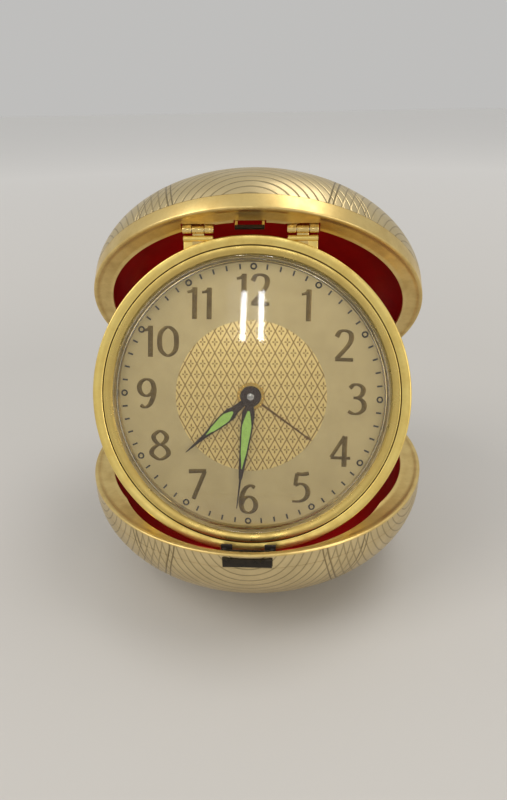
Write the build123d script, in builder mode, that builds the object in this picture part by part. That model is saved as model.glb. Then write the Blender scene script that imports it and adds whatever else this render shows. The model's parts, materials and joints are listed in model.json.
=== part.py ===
from build123d import *

import os
from math import acos, cos, pi, radians, sin, sqrt

# Folding travel alarm clock: two domed halves on a back hinge, with the clock head hinged inside the lid.
# The origin is the centre of the flat foot, +Z is up and the dial faces -Y. Millimetres.

# Case halves
CASE_RADIUS = 38.0
HALF_DEPTH = 24.0
FOOT_RADIUS = 10.0
DOME_BANDS = 5
BAND_HEIGHT = 3.2
BAND_WALL = 0.8
LIP_CHAMFER = 0.4
UPSTAND_WALL = 0.8
SHELL_WALL = 0.7
LINING_WALL = 0.4
LINING_SIDES = 36
FLANGE_WIDTH = 4.4
FLANGE_WALL = 0.6

# Fold of the case and of the head
RIM_GAP = 0.3
HINGE_OUT = 1.3
HINGE_LIFT = 0.6
LID_OPEN = 48.8
HEAD_FOLD = 61.6

# Case hinge
CASE_BARREL = 1.15
CASE_PIN = 0.6
CASE_KNUCKLE_END = 11.0
CASE_KNUCKLE_GAP = 0.2
LID_KNUCKLE_HALF = 3.8
HINGE_LEAF_DROP = 2.8
HINGE_LEAF_BACK = 0.5
HINGE_LEAF_CLEAR = 0.35

# Head hinge
HEAD_PIVOT_OUT = 1.43
HEAD_PIVOT_FRONT = 0.43
HEAD_BARREL = 0.72
HEAD_PIN = 0.35
HEAD_HINGE_X = 10.0
HEAD_HINGE_HALF = 3.0
HEAD_KNUCKLE_HALF = 1.15
HEAD_KNUCKLE_GAP = 0.12
HEAD_ARM_WALL = 0.6
BRACKET_WALL = 0.7
BRACKET_REACH = 1.9
NOTCH_CLEAR = 0.3
NOTCH_DEPTH = 4.0

# Latch
BUTTON_WIDTH = 9.3
BUTTON_HEIGHT = 1.8
BUTTON_PROUD = 0.3
BUTTON_TRAVEL = 0.9
BUTTON_LEDGE = 0.65
BUTTON_FLANGE_WALL = 0.35
LATCH_CLEAR = 0.1
CATCH_HALF = 2.8
CATCH_WALL = 0.35
CATCH_NOSE = 0.35
CATCH_NOSE_HEIGHT = 0.65
CATCH_GAP = 0.15
CATCH_ROOT_WALL = 0.6
CATCH_ROOT_REACH = 1.4
LATCH_WALL = 0.4
LATCH_POST = 2.2
LATCH_SPRING_RADIUS = 0.6
LATCH_SPRING_WIRE = 0.2

# Head case
BEZEL_GAP = 2.9
BEZEL_WIDTH = 3.4
BEZEL_DEPTH = 2.6
BEZEL_CREST = 0.9
BEZEL_CREST_WIDTH = 1.0
BEZEL_CHAMFER = 0.8
BEZEL_LIP = 0.2
DRUM_WALL = 0.6
COVER_WALL = 0.6
COVER_POST = 1.0
CRYSTAL_GRIP = 1.0
CRYSTAL_SEAT = 0.6
CRYSTAL_SIDE = 0.6
CRYSTAL_SHOULDER = 1.1
CRYSTAL_SHOULDER_RISE = 0.8
CRYSTAL_SLOPE = 9.3
CRYSTAL_TOP_RISE = 1.0
DIAL_LEVEL = 2.2
DIAL_WALL = 0.4
DIAL_RING_WALL = 1.7
DIAL_HOLE = 2.1

# Hands, each by how far its tip stays inside the dial ring
HOUR_SHORT = 9.1
HOUR_WIDTH = 2.3
HOUR_TURN = 229.0
HOUR_WIDEST_SHARE = 0.66
MINUTE_SHORT = 3.4
MINUTE_WIDTH = 1.9
MINUTE_TURN = 187.0
MINUTE_WIDEST_SHARE = 0.6
HAND_WAIST_SHARE = 0.4
ALARM_SHORT = 11.3
ALARM_WIDTH = 0.7
ALARM_TURN = 126.0
ALARM_WIDEST_SHARE = 0.85
ALARM_WAIST_SHARE = 0.6
HAND_WALL = 0.2
HAND_STEP = 0.4
ALARM_HAND_LEVEL = 1.95
ALARM_HUB = 2.75
HOUR_HUB = 2.2
MINUTE_HUB = 1.9
CAP_RADIUS = 0.7
CAP_RISE = 0.25

# Movement: plates, arbors and the gaps between them
PLATE_GAP = 3.7
PLATE_WALL = 0.8
PILLAR_RADIUS = 1.2
PILLAR_INSET = 2.0
PILLAR_COUNT = 4
PILLAR_START = 25.0
ARBOR_RADIUS = 0.45
PIVOT_CLEAR = 0.05
TIP_CLEAR = 0.1
DIAL_CLEAR = 0.2
WHEEL_WALL = 0.4
WHEEL_GAP = 0.3
WHEEL_FACETS = 24
BARREL_HEIGHT = 3.0
BARREL_WALL = 0.4
BARREL_GAP = 0.7
BARREL_ARBOR = 1.0
SPRING_TURNS = 4
SPRING_RIBBON = 0.25
RIBBON_STEPS = 12
MINUTE_PIPE = 0.8
HOUR_PIPE = 1.25
ALARM_PIPE = 1.7
MINUTE_WHEEL_ANGLE = 20.0
THIRD_ANGLE = 150.0
FOURTH_ANGLE = 80.0
ESCAPE_ANGLE = 20.0
ESCAPE_TEETH = 15
TOOTH_REST_SHARE = 0.25
PINION_HEIGHT = 1.2
BALANCE_RIM = 0.8
HAIRSPRING_TURNS = 3
HAIRSPRING_RIBBON = 0.15
HAIRSPRING_RISE = 0.9
PALLET_WIDTH = 0.8
HAMMER_HEAD = 1.1
HAMMER_WIDTH = 1.2
REGULATOR_WIDTH = 1.0

# Movement: wheel radii, reaches and places as shares of the plate's radius
BARREL_SHARE = 6.5 / 24
BARREL_X_SHARE = 7 / 24
BARREL_Y_SHARE = -6 / 24
CENTRE_WHEEL_SHARE = 7 / 24
HOUR_WHEEL_SHARE = 5.44 / 24
ALARM_WHEEL_SHARE = 8.4 / 24
CANNON_PINION_SHARE = 1.7 / 24
MINUTE_WHEEL_SHARE = 5.1 / 24
THIRD_PINION_SHARE = 1.2 / 24
THIRD_WHEEL_SHARE = 5.6 / 24
FOURTH_PINION_SHARE = 1.1 / 24
FOURTH_WHEEL_SHARE = 5 / 24
ESCAPE_PINION_SHARE = 1 / 24
ESCAPE_WHEEL_SHARE = 3.6 / 24
ESCAPE_ROOT_SHARE = 2.7 / 24
BALANCE_SHARE = 5.5 / 24
BALANCE_X_SHARE = 11 / 24
BALANCE_Y_SHARE = 9 / 24
ROLLER_SHARE = 1.2 / 24
HAIRSPRING_SHARE = 2.6 / 24
PALLET_X_SHARE = 4.9 / 24
PALLET_Y_SHARE = 13.5 / 24
PALLET_REACH_SHARE = 5.8 / 24
PALLET_SPAN_SHARE = 1.3 / 24
HAMMER_X_SHARE = 14.5 / 24
HAMMER_Y_SHARE = -10.5 / 24
HAMMER_REACH_SHARE = 7.6 / 24
REGULATOR_REACH_SHARE = 5.5 / 24
TIME_KNOB_SHARE = 3.5 / 24
ALARM_KNOB_SHARE = 2.8 / 24
ALARM_KNOB_Y_SHARE = -11 / 24
KEY_SPAN_SHARE = 8.8 / 24
STOP_X_SHARE = 10 / 24
STOP_Y_SHARE = 4 / 24

# Back controls
KNOB_GAP = 0.4
KNOB_HEIGHT = 2.6
KEY_WALL = 1.2
KEY_HEIGHT = 3.4
STOP_RADIUS = 1.2
STOP_HEAD = 1.8
STOP_HEAD_WALL = 0.8
STOP_TRAVEL = 1.2
COVER_SCREWS = 3
COVER_SCREW_START = 90.0
SCREW_INSET = 2.3
SCREW_HEAD = 1.3
SCREW_HEAD_WALL = 0.4
SCREW_SHANK = 0.6
SCREW_REACH = 1.6
SCREW_BLOCK = 2.6
SCREW_BLOCK_REACH = 1.7
DIAL_FOOT = 0.6
DIAL_FOOT_INSET = 4.0
OVERRUN = 2.0

# Derived radii, from the case inwards to the movement
FOOT_ANGLE = acos(FOOT_RADIUS / CASE_RADIUS)
UPSTAND_RADIUS = CASE_RADIUS - BAND_WALL
CAVITY_RADIUS = UPSTAND_RADIUS - UPSTAND_WALL
LINING_RADIUS = CAVITY_RADIUS - LINING_WALL
FLANGE_INNER = CASE_RADIUS - FLANGE_WIDTH
BEZEL_RADIUS = FLANGE_INNER - BEZEL_GAP
BEZEL_OPENING = BEZEL_RADIUS - BEZEL_WIDTH
DRUM_RADIUS = BEZEL_OPENING + CRYSTAL_GRIP
DRUM_INNER = DRUM_RADIUS - DRUM_WALL
DIAL_OPENING = DRUM_INNER - DIAL_RING_WALL
PLATE_RADIUS = DRUM_INNER - PLATE_GAP
HINGE_AXIS_OUT = CASE_RADIUS + HINGE_OUT
PIVOT_RADIUS = BEZEL_RADIUS + HEAD_PIVOT_OUT
CATCH_FRONT = FLANGE_INNER + LATCH_CLEAR + CATCH_WALL
BUTTON_FLANGE_HALF = BUTTON_WIDTH / 2 + BUTTON_LEDGE
BUTTON_SEAT = sqrt(CAVITY_RADIUS ** 2 - BUTTON_FLANGE_HALF ** 2) - 2 * LATCH_CLEAR
BUTTON_MIDDLE = -FLANGE_WALL - 2 * LATCH_CLEAR - BUTTON_HEIGHT / 2
LATCH_SPRING_X = BUTTON_FLANGE_HALF - LATCH_SPRING_RADIUS - LATCH_CLEAR
LATCH_FLOOR = BUTTON_MIDDLE - BUTTON_HEIGHT / 2 - 2 * LATCH_CLEAR

# Derived levels behind the dial plane, from the hands back to the cover
HOUR_HAND_LEVEL = ALARM_HAND_LEVEL - HAND_STEP
MINUTE_HAND_LEVEL = HOUR_HAND_LEVEL - HAND_STEP
ALARM_WHEEL_LEVEL = DIAL_LEVEL + DIAL_WALL + DIAL_CLEAR
HOUR_WHEEL_LEVEL = ALARM_WHEEL_LEVEL + WHEEL_WALL + WHEEL_GAP
MINUTE_WHEEL_LEVEL = HOUR_WHEEL_LEVEL + 2 * WHEEL_WALL
FRONT_PLATE_LEVEL = MINUTE_WHEEL_LEVEL + WHEEL_WALL + WHEEL_GAP
CENTRE_LEVEL = FRONT_PLATE_LEVEL + PLATE_WALL + WHEEL_WALL
BARREL_LEVEL = CENTRE_LEVEL + WHEEL_WALL + WHEEL_GAP
REAR_PLATE_LEVEL = BARREL_LEVEL + BARREL_HEIGHT + BARREL_GAP
THIRD_LEVEL = REAR_PLATE_LEVEL - WHEEL_WALL - TIP_CLEAR
FOURTH_LEVEL = THIRD_LEVEL - PINION_HEIGHT - WHEEL_GAP
ESCAPE_LEVEL = FOURTH_LEVEL - PINION_HEIGHT
BALANCE_LEVEL = FOURTH_LEVEL
HAIRSPRING_LEVEL = BALANCE_LEVEL + HAIRSPRING_RISE
DRUM_DEPTH = REAR_PLATE_LEVEL + PLATE_WALL + COVER_POST
COVER_FACE = DRUM_DEPTH + COVER_WALL

# Derived sizes of the hands, the movement and the back controls
MINUTE_LENGTH = DIAL_OPENING - MINUTE_SHORT
HOUR_LENGTH = DIAL_OPENING - HOUR_SHORT
ALARM_LENGTH = DIAL_OPENING - ALARM_SHORT
CRYSTAL_TOP = BEZEL_OPENING - CRYSTAL_SLOPE
PILLAR_CIRCLE = PLATE_RADIUS - PILLAR_INSET
DIAL_FOOT_CIRCLE = PLATE_RADIUS - DIAL_FOOT_INSET
COVER_SCREW_CIRCLE = DRUM_RADIUS - SCREW_INSET
BARREL_RADIUS = BARREL_SHARE * PLATE_RADIUS
BARREL_X = BARREL_X_SHARE * PLATE_RADIUS
BARREL_Y = BARREL_Y_SHARE * PLATE_RADIUS
CENTRE_WHEEL = CENTRE_WHEEL_SHARE * PLATE_RADIUS
HOUR_WHEEL = HOUR_WHEEL_SHARE * PLATE_RADIUS
ALARM_WHEEL = ALARM_WHEEL_SHARE * PLATE_RADIUS
CANNON_PINION = CANNON_PINION_SHARE * PLATE_RADIUS
MINUTE_WHEEL = MINUTE_WHEEL_SHARE * PLATE_RADIUS
THIRD_PINION = THIRD_PINION_SHARE * PLATE_RADIUS
THIRD_WHEEL = THIRD_WHEEL_SHARE * PLATE_RADIUS
FOURTH_PINION = FOURTH_PINION_SHARE * PLATE_RADIUS
FOURTH_WHEEL = FOURTH_WHEEL_SHARE * PLATE_RADIUS
ESCAPE_PINION = ESCAPE_PINION_SHARE * PLATE_RADIUS
ESCAPE_WHEEL = ESCAPE_WHEEL_SHARE * PLATE_RADIUS
ESCAPE_ROOT = ESCAPE_ROOT_SHARE * PLATE_RADIUS
BALANCE_RADIUS = BALANCE_SHARE * PLATE_RADIUS
BALANCE_ROLLER = ROLLER_SHARE * PLATE_RADIUS
HAIRSPRING_RADIUS = HAIRSPRING_SHARE * PLATE_RADIUS
PALLET_REACH = PALLET_REACH_SHARE * PLATE_RADIUS
PALLET_SPAN = PALLET_SPAN_SHARE * PLATE_RADIUS
HAMMER_REACH = HAMMER_REACH_SHARE * PLATE_RADIUS
REGULATOR_REACH = REGULATOR_REACH_SHARE * PLATE_RADIUS
TIME_KNOB = TIME_KNOB_SHARE * PLATE_RADIUS
ALARM_KNOB = ALARM_KNOB_SHARE * PLATE_RADIUS
ALARM_KNOB_Y = ALARM_KNOB_Y_SHARE * PLATE_RADIUS
KEY_SPAN = KEY_SPAN_SHARE * PLATE_RADIUS
CENTRE_PINION = sqrt(BARREL_X ** 2 + BARREL_Y ** 2) - BARREL_RADIUS - TIP_CLEAR
ALARM_PINION = -ALARM_KNOB_Y - ALARM_WHEEL - TIP_CLEAR
MINUTE_WHEEL_DISTANCE = CANNON_PINION + MINUTE_WHEEL + TIP_CLEAR
MINUTE_PINION = MINUTE_WHEEL_DISTANCE - HOUR_WHEEL - TIP_CLEAR


def along(start, angle, distance):
    """The point at a distance and a direction in degrees from another point."""
    return (start[0] + distance * cos(radians(angle)), start[1] + distance * sin(radians(angle)))


CENTRE = (0, 0)
MINUTE_WHEEL_AT = along(CENTRE, MINUTE_WHEEL_ANGLE, MINUTE_WHEEL_DISTANCE)
THIRD_AT = along(CENTRE, THIRD_ANGLE, CENTRE_WHEEL + THIRD_PINION + TIP_CLEAR)
FOURTH_AT = along(THIRD_AT, FOURTH_ANGLE, THIRD_WHEEL + FOURTH_PINION + TIP_CLEAR)
ESCAPE_AT = along(FOURTH_AT, ESCAPE_ANGLE, FOURTH_WHEEL + ESCAPE_PINION + TIP_CLEAR)
BALANCE_AT = (BALANCE_X_SHARE * PLATE_RADIUS, BALANCE_Y_SHARE * PLATE_RADIUS)
PALLET_AT = (PALLET_X_SHARE * PLATE_RADIUS, PALLET_Y_SHARE * PLATE_RADIUS)
HAMMER_AT = (HAMMER_X_SHARE * PLATE_RADIUS, HAMMER_Y_SHARE * PLATE_RADIUS)
STOP_AT = (STOP_X_SHARE * PLATE_RADIUS, STOP_Y_SHARE * PLATE_RADIUS)
TIME_BARREL_AT = (-BARREL_X, BARREL_Y)
ALARM_BARREL_AT = (BARREL_X, BARREL_Y)
ALARM_KNOB_AT = (0, ALARM_KNOB_Y)

# Frames of the base, the lid and the head. Local z leaves the opening or the dial. In both halves local y
# points at the front of the rim, away from the case hinge. The head's local y points at its hinge.
BASE = Plane((0, 0, HALF_DEPTH), x_dir=(-1, 0, 0), z_dir=(0, 0, 1))
HINGE_POINT = Vector(0, HINGE_AXIS_OUT, HALF_DEPTH + HINGE_LIFT)
CLOSED_LID = Plane((0, 0, HALF_DEPTH + RIM_GAP), x_dir=(1, 0, 0), z_dir=(0, 0, -1))


def turned_plane(plane, point, angle):
    """A plane turned about the X direction through a point."""
    arm = (plane.origin - point).rotate(Axis.X, angle)
    return Plane(point + arm, x_dir=plane.x_dir, z_dir=plane.z_dir.rotate(Axis.X, angle))


LID = turned_plane(CLOSED_LID, HINGE_POINT, -LID_OPEN)
PIVOT_POINT = LID.from_local_coords((0, PIVOT_RADIUS, HEAD_PIVOT_FRONT))
HEAD = turned_plane(LID, PIVOT_POINT, -HEAD_FOLD)


def section(plane):
    """The half plane of a turned outline: local x is the radius and local y the height."""
    return Plane(plane.origin, x_dir=plane.x_dir, z_dir=-plane.y_dir)


def shifted(plane, x, y, z=0):
    """The same plane with its origin moved along its own directions."""
    return Plane(plane.from_local_coords((x, y, z)), x_dir=plane.x_dir, z_dir=plane.z_dir)


def turn(plane, outline, mode=Mode.ADD):
    """Turn an outline of radius and height points about the plane's axis."""
    with BuildSketch(section(plane)) as profile:
        with BuildLine():
            Polyline(*outline, close=True)
        make_face()
    revolve(profile.sketch, axis=Axis(plane.origin, plane.z_dir), mode=mode)


def disc(plane, at, radius, low, high, mode=Mode.ADD):
    """A round disc or arbor between two heights."""
    with BuildSketch(plane.offset(low)) as profile:
        with Locations(at):
            Circle(radius)
    extrude(profile.sketch, amount=high - low, mode=mode)


def slab(plane, x, y, low, high, mode=Mode.ADD):
    """A flat block over a span of x, a span of y and two heights."""
    with BuildSketch(shifted(plane, (x[0] + x[1]) / 2, (y[0] + y[1]) / 2, low)) as profile:
        Rectangle(abs(x[1] - x[0]), abs(y[1] - y[0]))
    extrude(profile.sketch, amount=high - low, mode=mode)


def rod(plane, x, y, z, radius, mode=Mode.ADD):
    """A round bar along local x."""
    start = Plane(plane.from_local_coords((x[0], y, z)), x_dir=plane.y_dir, z_dir=plane.x_dir)
    with BuildSketch(start) as profile:
        Circle(radius)
    extrude(profile.sketch, amount=x[1] - x[0], mode=mode)


def blank(plane, at, radius, level, height=WHEEL_WALL):
    """A wheel blank at its tip circle, with its front face at a level behind the dial plane."""
    with BuildSketch(plane.offset(-level - height)) as profile:
        with Locations(at):
            RegularPolygon(radius, WHEEL_FACETS)
    extrude(profile.sketch, amount=height)


def ribbon(plane, at, inner, outer, turns, wall, low, high):
    """A flat spiral spring, wound outwards at a steady rate."""
    steps = turns * RIBBON_STEPS
    spiral = []
    for step in range(steps + 1):
        angle = 2 * pi * step / RIBBON_STEPS
        radius = inner + (outer - inner) * step / steps
        spiral.append((angle, radius))
    inner_edge = [(radius * cos(angle), radius * sin(angle)) for angle, radius in spiral]
    outer_edge = [((radius + wall) * cos(angle), (radius + wall) * sin(angle)) for angle, radius in spiral]
    with BuildSketch(shifted(plane, *at, low)) as profile:
        with BuildLine():
            Polyline(*inner_edge, *reversed(outer_edge), close=True)
        make_face()
    extrude(profile.sketch, amount=high - low)


def bowl_levels(radius, wall):
    """Radius and height of each ring of an inner bowl surface, from the flange down to its floor."""
    depth = (HALF_DEPTH - BAND_HEIGHT - wall) / sin(FOOT_ANGLE)
    levels = [(radius, -FLANGE_WALL)]
    for band in range(DOME_BANDS + 1):
        angle = FOOT_ANGLE * band / DOME_BANDS
        levels.append((radius * cos(angle), -BAND_HEIGHT - depth * sin(angle)))
    return levels


def bowl(plane, radius, wall, mode=Mode.ADD):
    """A bowl-shaped space with straight facets."""
    rings = []
    for ring_radius, height in bowl_levels(radius, wall):
        with BuildSketch(plane.offset(height)) as ring:
            RegularPolygon(ring_radius, LINING_SIDES)
        rings.append(ring.sketch)
    loft(rings, ruled=True, mode=mode)


def latch_window(plane, clear, inner, outer, mode=Mode.SUBTRACT):
    """The window that the latch button works in."""
    half = BUTTON_WIDTH / 2 + clear
    low = BUTTON_MIDDLE - BUTTON_HEIGHT / 2 - clear
    slab(plane, (-half, half), (inner, outer), low, low + BUTTON_HEIGHT + 2 * clear, mode=mode)


def dome(plane):
    """One domed shell: flat foot, elliptic dome and the upstand that the rim band grips."""
    depth = (HALF_DEPTH - BAND_HEIGHT) / sin(FOOT_ANGLE)
    outline = [(0, -FLANGE_WALL), (UPSTAND_RADIUS, -FLANGE_WALL), (UPSTAND_RADIUS, -BAND_HEIGHT)]
    for band in range(DOME_BANDS + 1):
        angle = FOOT_ANGLE * band / DOME_BANDS
        outline.append((CASE_RADIUS * cos(angle), -BAND_HEIGHT - depth * sin(angle)))
    outline.append((0, -HALF_DEPTH))
    turn(plane, outline)
    bowl(plane, CAVITY_RADIUS, SHELL_WALL, mode=Mode.SUBTRACT)


def rim(plane):
    """One rim: a band with an inward flange, notched for the head hinge and for the catch."""
    outline = [
        (FLANGE_INNER, 0),
        (CASE_RADIUS - LIP_CHAMFER, 0),
        (CASE_RADIUS, -LIP_CHAMFER),
        (CASE_RADIUS, -BAND_HEIGHT),
        (UPSTAND_RADIUS, -BAND_HEIGHT),
        (UPSTAND_RADIUS, -FLANGE_WALL),
        (FLANGE_INNER, -FLANGE_WALL),
    ]
    turn(plane, outline)
    half = HEAD_HINGE_HALF + NOTCH_CLEAR
    top = PIVOT_RADIUS + HEAD_BARREL + NOTCH_CLEAR
    for side in (-1, 1):
        span = (side * HEAD_HINGE_X - half, side * HEAD_HINGE_X + half)
        slab(plane, span, (top - NOTCH_DEPTH, top), -BAND_HEIGHT, BAND_HEIGHT, Mode.SUBTRACT)
    wide = CATCH_HALF + NOTCH_CLEAR
    front = CATCH_FRONT + LATCH_CLEAR
    slab(plane, (-wide, wide), (front - NOTCH_DEPTH, front), -BAND_HEIGHT, BAND_HEIGHT, Mode.SUBTRACT)


os.makedirs("parts", exist_ok=True)


def keep(piece, label):
    """Label one finished piece and write it."""
    piece.part.label = label
    export_step(piece.part, "parts/" + label + ".step")


# Base half
with BuildPart() as lower_shell:
    dome(BASE)
    latch_window(BASE, LATCH_CLEAR, LINING_RADIUS - OVERRUN, CASE_RADIUS + OVERRUN)
keep(lower_shell, "lower_shell")

with BuildPart() as lower_rim:
    rim(BASE)
    latch_window(BASE, LATCH_CLEAR, UPSTAND_RADIUS - BAND_WALL, CASE_RADIUS + OVERRUN)
keep(lower_rim, "lower_rim")

with BuildPart() as lower_lining:
    bowl(BASE, CAVITY_RADIUS, SHELL_WALL)
    bowl(BASE, LINING_RADIUS, SHELL_WALL + LINING_WALL, mode=Mode.SUBTRACT)
    POCKET_HALF = BUTTON_FLANGE_HALF + 2 * BUTTON_LEDGE
    POCKET_SPAN = (LINING_RADIUS - OVERRUN, CAVITY_RADIUS + OVERRUN)
    slab(BASE, (-POCKET_HALF, POCKET_HALF), POCKET_SPAN, LATCH_FLOOR - LATCH_WALL, 0, Mode.SUBTRACT)
keep(lower_lining, "lower_lining")

# Case hinge: the base leaf carries two outer knuckles and the pin, the lid leaf the middle knuckle
KNUCKLE_START = LID_KNUCKLE_HALF + CASE_KNUCKLE_GAP
with BuildPart() as base_hinge:
    LEAF_SPAN = (-HINGE_AXIS_OUT - HINGE_LEAF_BACK, -CASE_RADIUS + OVERRUN)
    LEAF_TOP = HINGE_LIFT - CASE_BARREL - HINGE_LEAF_CLEAR
    slab(BASE, (-CASE_KNUCKLE_END, CASE_KNUCKLE_END), LEAF_SPAN, -HINGE_LEAF_DROP, LEAF_TOP)
    for side in (-1, 1):
        SPAN = sorted((side * KNUCKLE_START, side * CASE_KNUCKLE_END))
        slab(BASE, SPAN, LEAF_SPAN, LEAF_TOP, HINGE_LIFT)
    disc(BASE, CENTRE, CASE_RADIUS, -HALF_DEPTH, HINGE_LIFT, Mode.SUBTRACT)
    for side in (-1, 1):
        SPAN = sorted((side * KNUCKLE_START, side * CASE_KNUCKLE_END))
        rod(BASE, SPAN, -HINGE_AXIS_OUT, HINGE_LIFT, CASE_BARREL)
    rod(BASE, (-CASE_KNUCKLE_END, CASE_KNUCKLE_END), -HINGE_AXIS_OUT, HINGE_LIFT, CASE_PIN, Mode.SUBTRACT)
keep(base_hinge, "base_hinge")

with BuildPart() as hinge_pin:
    rod(BASE, (-CASE_KNUCKLE_END, CASE_KNUCKLE_END), -HINGE_AXIS_OUT, HINGE_LIFT, CASE_PIN)
keep(hinge_pin, "hinge_pin")

LID_AXIS_LEVEL = RIM_GAP - HINGE_LIFT
with BuildPart() as lid_hinge:
    LID_LEAF = (-HINGE_AXIS_OUT - HINGE_LEAF_BACK, -CASE_RADIUS + OVERRUN)
    slab(LID, (-LID_KNUCKLE_HALF, LID_KNUCKLE_HALF), LID_LEAF, -HINGE_LEAF_DROP, LID_AXIS_LEVEL)
    disc(LID, CENTRE, CASE_RADIUS, -HALF_DEPTH, HINGE_LIFT, Mode.SUBTRACT)
    rod(LID, (-LID_KNUCKLE_HALF, LID_KNUCKLE_HALF), -HINGE_AXIS_OUT, LID_AXIS_LEVEL, CASE_BARREL)
    rod(LID, (-LID_KNUCKLE_HALF, LID_KNUCKLE_HALF), -HINGE_AXIS_OUT, LID_AXIS_LEVEL, CASE_PIN + PIVOT_CLEAR,
        Mode.SUBTRACT)
keep(lid_hinge, "lid_hinge")

# Latch: a press button in the base, held by two springs against a bracket under the flange
with BuildPart() as latch_button:
    latch_window(BASE, 0, BUTTON_SEAT, CASE_RADIUS + BUTTON_PROUD, Mode.ADD)
    LEDGE_LOW = BUTTON_MIDDLE - BUTTON_HEIGHT / 2 - LATCH_CLEAR
    slab(BASE, (-BUTTON_FLANGE_HALF, BUTTON_FLANGE_HALF), (BUTTON_SEAT - BUTTON_FLANGE_WALL, BUTTON_SEAT),
         LEDGE_LOW, LEDGE_LOW + BUTTON_HEIGHT + 2 * LATCH_CLEAR)
keep(latch_button, "latch_button")

BUTTON_BACK = BUTTON_SEAT - BUTTON_FLANGE_WALL
SPRING_ROOM = BUTTON_TRAVEL + LATCH_SPRING_WIRE
POST_FRONT = BUTTON_BACK - SPRING_ROOM
with BuildPart() as latch_bracket:
    slab(BASE, (-BUTTON_FLANGE_HALF, BUTTON_FLANGE_HALF), (POST_FRONT - LATCH_WALL, BUTTON_SEAT),
         LATCH_FLOOR - LATCH_WALL, LATCH_FLOOR)
    for side in (-1, 1):
        SPAN = sorted((side * BUTTON_FLANGE_HALF, side * (BUTTON_FLANGE_HALF - LATCH_POST)))
        slab(BASE, SPAN, (POST_FRONT - LATCH_WALL, POST_FRONT), LATCH_FLOOR, -FLANGE_WALL)
keep(latch_bracket, "latch_bracket")

with BuildPart() as latch_spring:
    SPRING_PLANE = Plane(BASE.from_local_coords((0, POST_FRONT, BUTTON_MIDDLE)), x_dir=BASE.x_dir, z_dir=BASE.y_dir)
    for side in (-1, 1):
        AT = (side * LATCH_SPRING_X, 0)
        disc(SPRING_PLANE, AT, LATCH_SPRING_RADIUS, 0, SPRING_ROOM)
        disc(SPRING_PLANE, AT, LATCH_SPRING_RADIUS - LATCH_SPRING_WIRE, 0, SPRING_ROOM, Mode.SUBTRACT)
keep(latch_spring, "latch_spring")

# Lid half
with BuildPart() as upper_shell:
    dome(LID)
keep(upper_shell, "upper_shell")

with BuildPart() as upper_rim:
    rim(LID)
keep(upper_rim, "upper_rim")

with BuildPart() as upper_lining:
    bowl(LID, CAVITY_RADIUS, SHELL_WALL)
    bowl(LID, LINING_RADIUS, SHELL_WALL + LINING_WALL, mode=Mode.SUBTRACT)
keep(upper_lining, "upper_lining")

CATCH_BACK = CATCH_FRONT - CATCH_WALL
NOSE_LOW = RIM_GAP + FLANGE_WALL + CATCH_GAP
with BuildPart() as lid_catch:
    NOSE_HIGH = NOSE_LOW + CATCH_NOSE_HEIGHT
    slab(LID, (-CATCH_HALF, CATCH_HALF), (CATCH_BACK, CATCH_FRONT), -FLANGE_WALL - CATCH_ROOT_WALL, NOSE_HIGH)
    slab(LID, (-CATCH_HALF, CATCH_HALF), (CATCH_FRONT, CATCH_FRONT + CATCH_NOSE), NOSE_LOW, NOSE_HIGH)
    slab(LID, (-CATCH_HALF, CATCH_HALF), (CATCH_FRONT, CATCH_FRONT + CATCH_ROOT_REACH),
         -FLANGE_WALL - CATCH_ROOT_WALL, -FLANGE_WALL)
keep(lid_catch, "lid_catch")

# Head hinge: two brackets under the lid flange, each with two ears around a knuckle on the bezel
with BuildPart() as head_brackets:
    BRACKET_LOW = -FLANGE_WALL - BRACKET_WALL
    with BuildSketch(LID.offset(BRACKET_LOW)):
        for side in (-1, 1):
            with Locations((side * HEAD_HINGE_X, PIVOT_RADIUS - HEAD_BARREL)):
                Rectangle(2 * HEAD_HINGE_HALF, HEAD_BARREL + BRACKET_REACH, align=(Align.CENTER, Align.MIN))
        Circle(LINING_RADIUS * cos(pi / LINING_SIDES) - LATCH_CLEAR, mode=Mode.INTERSECT)
    extrude(amount=BRACKET_WALL)
    EAR_START = HEAD_KNUCKLE_HALF + HEAD_KNUCKLE_GAP
    for side in (-1, 1):
        for reach in (-1, 1):
            MIDDLE = side * HEAD_HINGE_X
            EAR = sorted((MIDDLE + reach * EAR_START, MIDDLE + reach * HEAD_HINGE_HALF))
            EAR_DEPTH = (PIVOT_RADIUS - HEAD_BARREL, PIVOT_RADIUS + HEAD_BARREL)
            slab(LID, EAR, EAR_DEPTH, -FLANGE_WALL, HEAD_PIVOT_FRONT)
            rod(LID, EAR, PIVOT_RADIUS, HEAD_PIVOT_FRONT, HEAD_BARREL)
            rod(LID, EAR, PIVOT_RADIUS, HEAD_PIVOT_FRONT, HEAD_PIN, Mode.SUBTRACT)
keep(head_brackets, "head_brackets")

with BuildPart() as head_hinge_pins:
    for side in (-1, 1):
        MIDDLE = side * HEAD_HINGE_X
        rod(LID, (MIDDLE - HEAD_HINGE_HALF, MIDDLE + HEAD_HINGE_HALF), PIVOT_RADIUS, HEAD_PIVOT_FRONT, HEAD_PIN)
keep(head_hinge_pins, "head_hinge_pins")

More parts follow.
